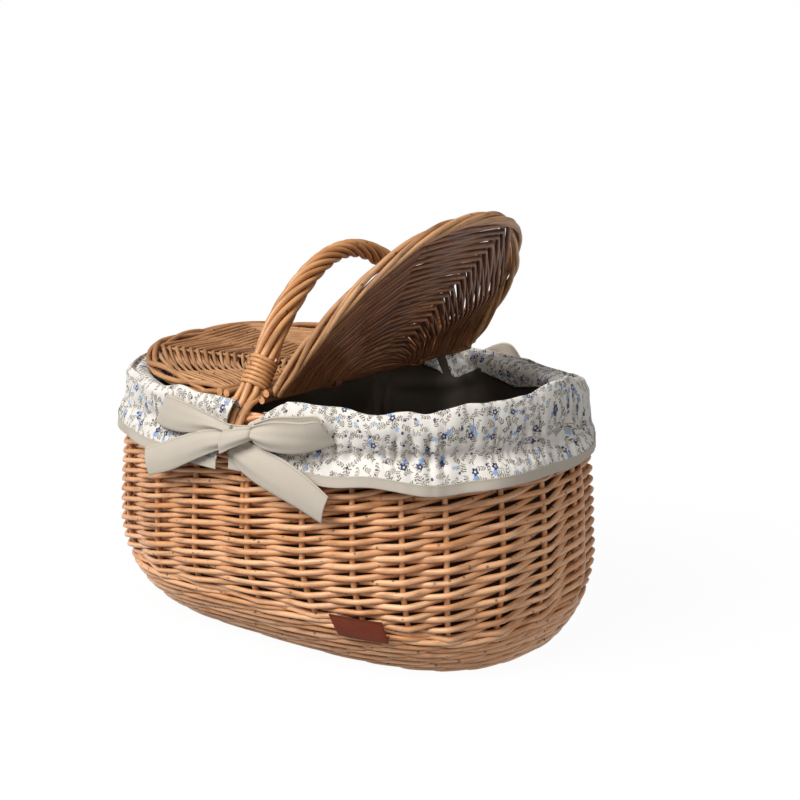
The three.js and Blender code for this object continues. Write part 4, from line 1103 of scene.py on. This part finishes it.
# %% Curves of the skirts
# share of the way round, and the height or the strength there
CREST = [
    (0, 238), (0.05, 242), (0.09, 244), (0.15, 246), (0.17, 246.5), (0.2, 250), (0.225, 254), (0.255, 250),
    (0.28, 243), (0.31, 236), (0.34, 231.5), (0.37, 230), (0.4, 229), (0.72, 229), (0.78, 230), (0.86, 232),
    (0.93, 235), (1, 237)]
HEM = [
    (0, 178), (0.05, 177.5), (0.08, 174.5), (0.1, 181.5), (0.118, 180), (0.131, 176.5), (0.149, 172),
    (0.167, 175), (0.2, 178.5), (0.23, 178), (0.265, 174.5), (0.3, 177.5), (0.34, 181), (0.4, 182),
    (0.5, 180), (0.6, 182), (0.72, 184), (0.78, 182), (0.86, 176), (0.93, 175), (1, 175)]
FACING = [
    (0, 204), (0.08, 210), (0.16, 203), (0.24, 209), (0.3, 202), (0.389, 213), (0.428, 204.5), (0.45, 209),
    (0.466, 212), (0.492, 198), (0.506, 206), (0.522, 209.5), (0.6, 203), (0.7, 210), (0.8, 204), (0.9, 209),
    (1, 204)]
TIGHTNESS = [
    (0, 0), (0.2, 0), (0.27, 0.4), (0.33, 1), (0.4, 0.9), (0.5, 0.5), (0.6, 0.4), (0.72, 0.6), (0.8, 1),
    (0.85, 1), (0.93, 0.3), (1, 0)]
# height, how far past one foot of the handle a skirt begins, and how far past the other foot it ends
SLIT = [(172, 6, -4), (185, 9, -4), (200, 16, -2), (214, 24, 3), (222, 33, 7), (230, 48, 11), (239, 68, 13)]
HEM_TALL = 9.0
MEAN_TOP, MEAN_HEM = 239.0, 189.0
FACING_LOW, RUFFLE_TOP = 200, 201
# offset, height, strength of the pleats and strength of the waves, from the facing over the crest to the hem
PROFILE = [
    (-18.6, FACING_LOW, 0, 0), (-18.6, 212, 0, 0), (-16.6, 222.5, 0, 0), (-9.5, 226.6, 0, 0.05),
    (-3.0, 227.2, 0, 0.1), (1.6, MEAN_TOP - 4.5, 0, 0.8), (5.6, MEAN_TOP, 0.05, 1),
    (9.8, MEAN_TOP - 5, 0.1, 1), (11.8, 227, 0.3, 0.9), (9.6, 215, 0.75, 0.5), (4.6, 206.5, 1, 0.1),
    (5.0, RUFFLE_TOP, 0.8, 0.3), (9.0, 0.55 * RUFFLE_TOP + 0.45 * MEAN_HEM, 0.35, 0.8),
    (11.5, MEAN_HEM, 0.05, 1)]
# how far down the flat cloth each point of the profile lies
PROFILE_RUN = [0, 12, 22.5, 31, 37.5, 46, 52, 58.5, 66, 78, 88, 93.5, 100, 107]
HALF_TURN = {"right": 0.0, "left": 0.5}
PLEAT_WIDE, PLEAT_DEEP = 14.0, 6.5
SKIRT_CUT = 1.14 * GIRTH / 2


def read_off(curve, share):
    return np.interp(share, *zip(*curve))


def read_softly(curve, share):
    return np.mean([read_off(curve, share + near) for near in (-0.012, -0.006, 0, 0.006, 0.012)], axis=0)


print("each skirt is cut", round(SKIRT_CUT), "mm wide")


# %% Shape of a skirt
def share_between_slits(side, u, v):
    heights, begin, stop = zip(*SLIT)
    height = through(PROFILE, v)[:, 1]
    outside = 0.7 + 0.3 * ease(v, 0.15, 0.3)
    start = HALF_TURN[side] + outside * np.interp(height, heights, begin) / GIRTH
    end = HALF_TURN[side] + 0.5 + np.interp(height, heights, stop) / GIRTH
    return start + (end - start) * u


def skirt_place(side, seed):
    def place(u, v):
        rough_share = HALF_TURN[side] + 0.5 * u
        top = read_softly(CREST, rough_share)
        low = read_softly(HEM, rough_share)
        offset, height, pleat, wave = through(PROFILE, v).T
        share = share_between_slits(side, u, v)
        run = 4 + (share - HALF_TURN[side]) * GIRTH
        top_part = ease(height, 224, 240) * (top - MEAN_TOP) * (offset > -4)
        hem_part = ease(-height, -203, -186) * (low + HEM_TALL - MEAN_HEM)
        beat = run / PLEAT_WIDE + 0.7 * ripple(run, 40, seed)
        uneven = 0.8 + 0.4 * ripple(run, 60, seed + 1)
        pleats = PLEAT_DEEP * (np.abs(np.sin(math.pi * beat)) - 0.62) * uneven
        waves = 2.4 * ripple(run, 52, seed + 2) + 0.7 * ripple(run, 24, seed + 3)
        sway = 2.3 * ripple(run, 66, seed + 4)
        below = ease(-height, -206, -192)
        # beyond the right end, at the back and at the left end the cloth is pulled close to the wall
        pulled = read_off(TIGHTNESS, rough_share)
        offset = offset - pulled * (0.8 - 0.2 * below) * np.maximum(offset - 1, 0)
        offset = offset - 2.5 * pulled * ease(height, 230, 239)
        calm = 1 - 0.6 * pulled if side == "right" else 0.5 - 0.2 * pulled
        plump = ease(rough_share, 0.58, 0.66) * ease(-rough_share, -0.92, -0.86) * ease(-offset, 3, 8)
        offset = offset + pleat * pleats + calm * wave * (waves * (1 - below) + sway * below)
        heave = 2.6 * ripple(run, 60, seed + 5) + 0.8 * ripple(run, 27, seed + 6)
        lift = calm * wave * (1 - below) * heave
        # the crest keeps clear of the facing, and the cloth below the border keeps clear of the wall
        offset = np.where(height > 228, np.maximum(offset, -3.0), offset)
        offset = np.where((height < 214) & (v > 0.5), np.maximum(offset, 1.6), offset)
        flap = (read_off(FACING, rough_share) - FACING_LOW) * (1 - ease(v, 0, 0.1))
        z = height + top_part + hem_part + lift * ease(height, 222, 236) + flap
        z = z + 2.5 * plump * ease(height, 212, 222) * (v < 0.5)
        spot = wall_point(share, np.minimum(z, BORDER_MIDDLE), offset)
        spot[:, 2] = z
        return spot
    return place


def skirt_flat(side):
    def flat(u, v):
        share = HALF_TURN[side] + 0.5 * u
        rise = read_softly(CREST, share) - MEAN_TOP
        drop = MEAN_HEM - HEM_TALL - read_softly(HEM, share)
        step = (len(PROFILE) - 1) * v
        down = np.interp(step, np.arange(len(PROFILE)), PROFILE_RUN)
        down = down + rise * (ease(step, 4, 6) + ease(step, 6, 8)) + drop * ease(step, 11, 13)
        return np.c_[(share_between_slits(side, u, v) - HALF_TURN[side]) * 2 * SKIRT_CUT, down]
    return flat


# %% Shape of a hem
# out and up from the skirt's edge, over the front of the binding, round its foot and up behind
HEM_LOOP = [
    (0.4, 0.9), (0.8, 0.4), (0.7, -0.5), (0.9, -HEM_TALL * 0.5), (1.1, -HEM_TALL + 0.6), (0.7, -HEM_TALL),
    (0.1, -HEM_TALL + 0.5), (-0.2, -HEM_TALL * 0.5), (-0.7, 0.5)]
# where the binding starts and how far it goes on the flat cloth, so that one line of stitches shows
HEM_START, HEM_WRAP = STITCH_LINE + 1.6, 26


def hem_place(side, seed):
    edge_of = skirt_place(side, seed)

    def place(u, v):
        edge = edge_of(u, np.ones_like(u))
        outward = edge * (1, 1, 0)
        outward = outward / np.linalg.norm(outward, axis=1, keepdims=True)
        out, up = through(HEM_LOOP, v).T
        flare = ease(-up, 0, HEM_TALL) * ripple(4 + u * GIRTH / 2, 60, seed + 8)
        return edge + outward * (out + flare)[:, None] + np.stack([0 * up, 0 * up, up], axis=-1)
    return place


# %% Skirts and hems
for side, seed in (("right", 21), ("left", 57)):
    skirt, area = cloth_piece(
        f"skirt_{side}_cloth", 440, 64, skirt_place(side, seed), skirt_flat(side), flower_cotton,
        flip=True, thickness=0.6)
    finish_piece(skirt, "basket", "printed_cloth", "skirt_" + side)
    hem, area = cloth_piece(
        f"hem_{side}_binding", 320, 16, hem_place(side, seed),
        lambda u, v: np.c_[u * SKIRT_CUT, HEM_START - v * HEM_WRAP], grey_cotton, thickness=0)
    finish_piece(hem, "basket", "plain_cloth", "hem_" + side)

# %% [markdown]
# ## Bows
# At each foot of the handle the two halves of the skirt are tied with a flat ribbon. A ribbon is given by
# its two long edges on the front of the basket, by how far it stands off the wall, and by how much its upper
# edge leans out. A loop goes out to its end and comes back behind itself; a tail ends in a straight cut.
# Near the knot the cloth is gathered, so soft pleats run out from there and fade.


# %% Bow helpers
def front_point(x, height, offset):
    half_length, half_width, squareness = body_at(np.minimum(height, BORDER_MIDDLE))
    share = np.clip(np.abs(x) / (half_length + offset), 0, 1) ** squareness
    return np.stack([x, -(half_width + offset) * (1 - share) ** (1 / squareness), height], axis=-1)


def ribbon_place(upper, lower, stand, gather, turned, lean=0):
    stand, gather = np.array(stand, float)[:, None], np.array(gather, float)[:, None]

    def place(u, v):
        top, bottom = through(upper, u), through(lower, u)
        off = through(stand, u)[:, 0]
        pinch = np.clip(through(gather, u)[:, 0], 0, 1)
        flat = bottom + (top - bottom) * v[:, None]
        puff = 2.2 * np.sin(math.pi * v) * (1 - 0.4 * pinch) + lean * (v - 0.5) * (1 - pinch)
        fine = 0.6 * np.cos(5.1 * math.pi * (v + 0.1))
        crumple = pinch * (1.5 * np.cos(2.6 * math.pi * (v - 0.42)) + fine)
        spot = front_point(flat[:, 0], flat[:, 1], off + puff + crumple)
        if turned:
            spot[:, :2] *= -1
        return spot
    return place


# %% Ribbons of a bow
bow_ribbons = {
    "loop_left": dict(
        upper=[(13, 217), (-8, 223), (-29, 228.5), (-50, 231.5), (-66, 231.5), (-68, 230), (-58, 230),
               (-30, 226), (-6, 220.5), (12, 214)],
        lower=[(13, 209), (-3, 210), (-22, 206), (-44, 202.5), (-68, 202), (-85, 203.5), (-76, 204),
               (-46, 205), (-8, 208), (12, 207)],
        stand=[15, 17.5, 18.5, 18, 16, 11.5, 8.5, 9, 11, 12],
        gather=[1, 0.75, 0.35, 0.1, 0, 0, 0, 0.1, 0.6, 1]),
    "loop_right": dict(
        upper=[(36, 219), (58, 227.5), (78, 232), (97, 233.5), (107, 235.5), (111, 234), (104, 238),
               (86, 235.5), (60, 231), (38, 222)],
        lower=[(36, 209.5), (53, 204), (73, 202.5), (92, 204.5), (109, 210.5), (115.5, 214), (108, 216),
               (88, 212), (60, 210), (38, 212)],
        stand=[18, 21, 22.5, 22, 19.5, 15.5, 12.5, 12, 12.5, 13],
        gather=[1, 0.7, 0.3, 0.1, 0, 0, 0, 0.1, 0.5, 1],
        lean=10),
    "tail_left": dict(
        upper=[(16, 213), (-1, 212), (-23.6, 206.6), (-42.4, 199.5), (-67.3, 189.3), (-97.4, 177.5)],
        lower=[(14, 196), (0.9, 193.3), (-13.9, 186.4), (-34, 176.5), (-57, 165.5), (-88.7, 153.8)],
        stand=[15, 17.5, 18, 17, 15, 13.5],
        gather=[1, 0.6, 0.25, 0.1, 0, 0]),
    "tail_right": dict(
        upper=[(30, 206), (42, 204.5), (58, 201), (75.5, 195), (95, 183.5), (112.5, 168.4)],
        lower=[(8, 192), (22, 182.5), (43, 173), (66, 164.5), (88, 155.5), (107.5, 144.6)],
        stand=[13, 14.5, 15, 14, 11.5, 8],
        gather=[1, 0.6, 0.25, 0.1, 0, 0]),
    "knot": dict(
        upper=[(14, 212), (9.5, 213.5), (12, 215.5), (24, 217.5), (37, 219.5), (40, 219), (37, 217)],
        lower=[(14, 196), (6.5, 195), (9, 193), (24, 200.5), (38.5, 208), (41, 209.5), (38, 211)],
        stand=[12, 17, 22, 25, 22.5, 18, 12],
        gather=[0.6, 0.5, 0.35, 0.3, 0.4, 0.5, 0.6]),
    "tie_band": dict(
        upper=[(-30, 222), (-12, 221), (8, 217), (28, 219), (46, 222)],
        lower=[(-30, 210), (-12, 209), (8, 203), (28, 207), (46, 210)],
        stand=[13, 13, 12, 13, 13],
        gather=[0.3, 0.5, 0.9, 0.5, 0.3]),
}
# the back bow has a shorter, rounder loop on this side
back_loop = dict(
    upper=[(13, 213), (-8, 222), (-22, 229.5), (-34, 233), (-46, 231.5), (-58, 223), (-50, 219), (-30, 221),
           (-6, 218), (12, 213)],
    lower=[(13, 207), (-3, 207), (-22, 206), (-40, 206), (-58, 206.5), (-66, 208), (-58, 206), (-40, 206),
           (-8, 207), (12, 206)],
    stand=[15, 20, 24, 25, 23, 18, 13, 12, 12, 12],
    gather=[1, 0.75, 0.35, 0.1, 0, 0, 0, 0.1, 0.6, 1])
print("a bow of", len(bow_ribbons), "ribbons,", 2 * RIBBON_HALF, "mm wide")

# %% Front and back bow
for place_name, turned in (("front", False), ("back", True)):
    for part_name, shape in bow_ribbons.items():
        shape = back_loop if turned and part_name == "loop_left" else shape
        name = f"{place_name}_bow_{part_name}"
        middle = np.array(shape["upper"], float) / 2 + np.array(shape["lower"], float) / 2
        length = np.sum(np.linalg.norm(np.diff(np.c_[middle, shape["stand"]], axis=0), axis=1))
        ribbon, area = cloth_piece(
            name + "_ribbon", 72, 20, ribbon_place(**shape, turned=turned),
            lambda u, v: np.c_[u * length, (2 * v - 1) * RIBBON_HALF], grey_cotton, thickness=0.9)
        finish_piece(ribbon, "basket", "plain_cloth", name)

# %% [markdown]
# ## Leather tag
# A small tag of brown leather is sewn flat on the weave near the foot. It is a strip bent to the wall, almost
# two millimetres thick, with rounded edges and a darker, burnished rim along its two long sides.

# %% Leather
TAG_LONG, TAG_TALL = 51, 22
PORE = 0.8
CLOUD = 12
tag_leather, tree = new_material("vegetable_tanned_leather")
in_mm = flat_in_mm(tree)
part = add(tree, "SeparateXYZ", {0: in_mm})
pores = add(tree, "TexVoronoi", {"Vector": in_mm, "Scale": 1 / PORE})
clouds = add(tree, "TexNoise", {"Vector": in_mm, "Scale": 1 / CLOUD, "Detail": 4.0})
browns = {0: clouds.outputs["Fac"], 6: colour("#6e250c"), 7: colour("#8c3b17")}
hide = add(tree, "Mix", browns, data_type="RGBA")
from_middle = add(tree, "Math", {0: part.outputs["Y"]}, operation="ABSOLUTE")
rim = add(tree, "MapRange", {0: from_middle.outputs[0], 1: 9.2, 2: 10.8, 3: 0.0, 4: 0.8})
hide = add(tree, "Mix", {0: rim.outputs[0], 6: hide.outputs[2], 7: colour("#3c1a10")}, data_type="RGBA")
grain_bump = add(tree, "Bump", {"Strength": 0.3, "Distance": 0.2 * MM, "Height": pores.outputs["Distance"]})
shell = add(tree, "BsdfPrincipled", {
    "Base Color": hide.outputs[2],
    "Roughness": 0.7,
    "Normal": grain_bump.outputs[0],
    "Specular IOR Level": 0.25,
})
add(tree, "OutputMaterial", {"Surface": shell.outputs[0]})
print("leather with pores of", PORE, "mm")

# %% Leather tag
TAG_SHARE, TAG_HEIGHT = 0.0955, 49
TAG_TILT = 0.04
TAG_OFFSET = 2.0


def tag_flat(u, v):
    return np.c_[(u - 0.5) * TAG_LONG, (v - 0.5) * TAG_TALL]


def tag_place(u, v):
    along, up = tag_flat(u, v).T
    bulge = 0.25 * np.cos(math.pi * (u - 0.5))
    return wall_point(TAG_SHARE + along / GIRTH, TAG_HEIGHT - TAG_TILT * along + up, TAG_OFFSET + bulge)


tag, area = cloth_piece("leather_tag_strip", 30, 12, tag_place, tag_flat, tag_leather, thickness=1.8)
rounding = tag.modifiers.new("rounded_edge", "BEVEL")
rounding.width = 0.5 * MM
rounding.segments = 2
rounding.limit_method = "ANGLE"
finish_piece(tag, "basket", "tag_leather", "leather_tag")
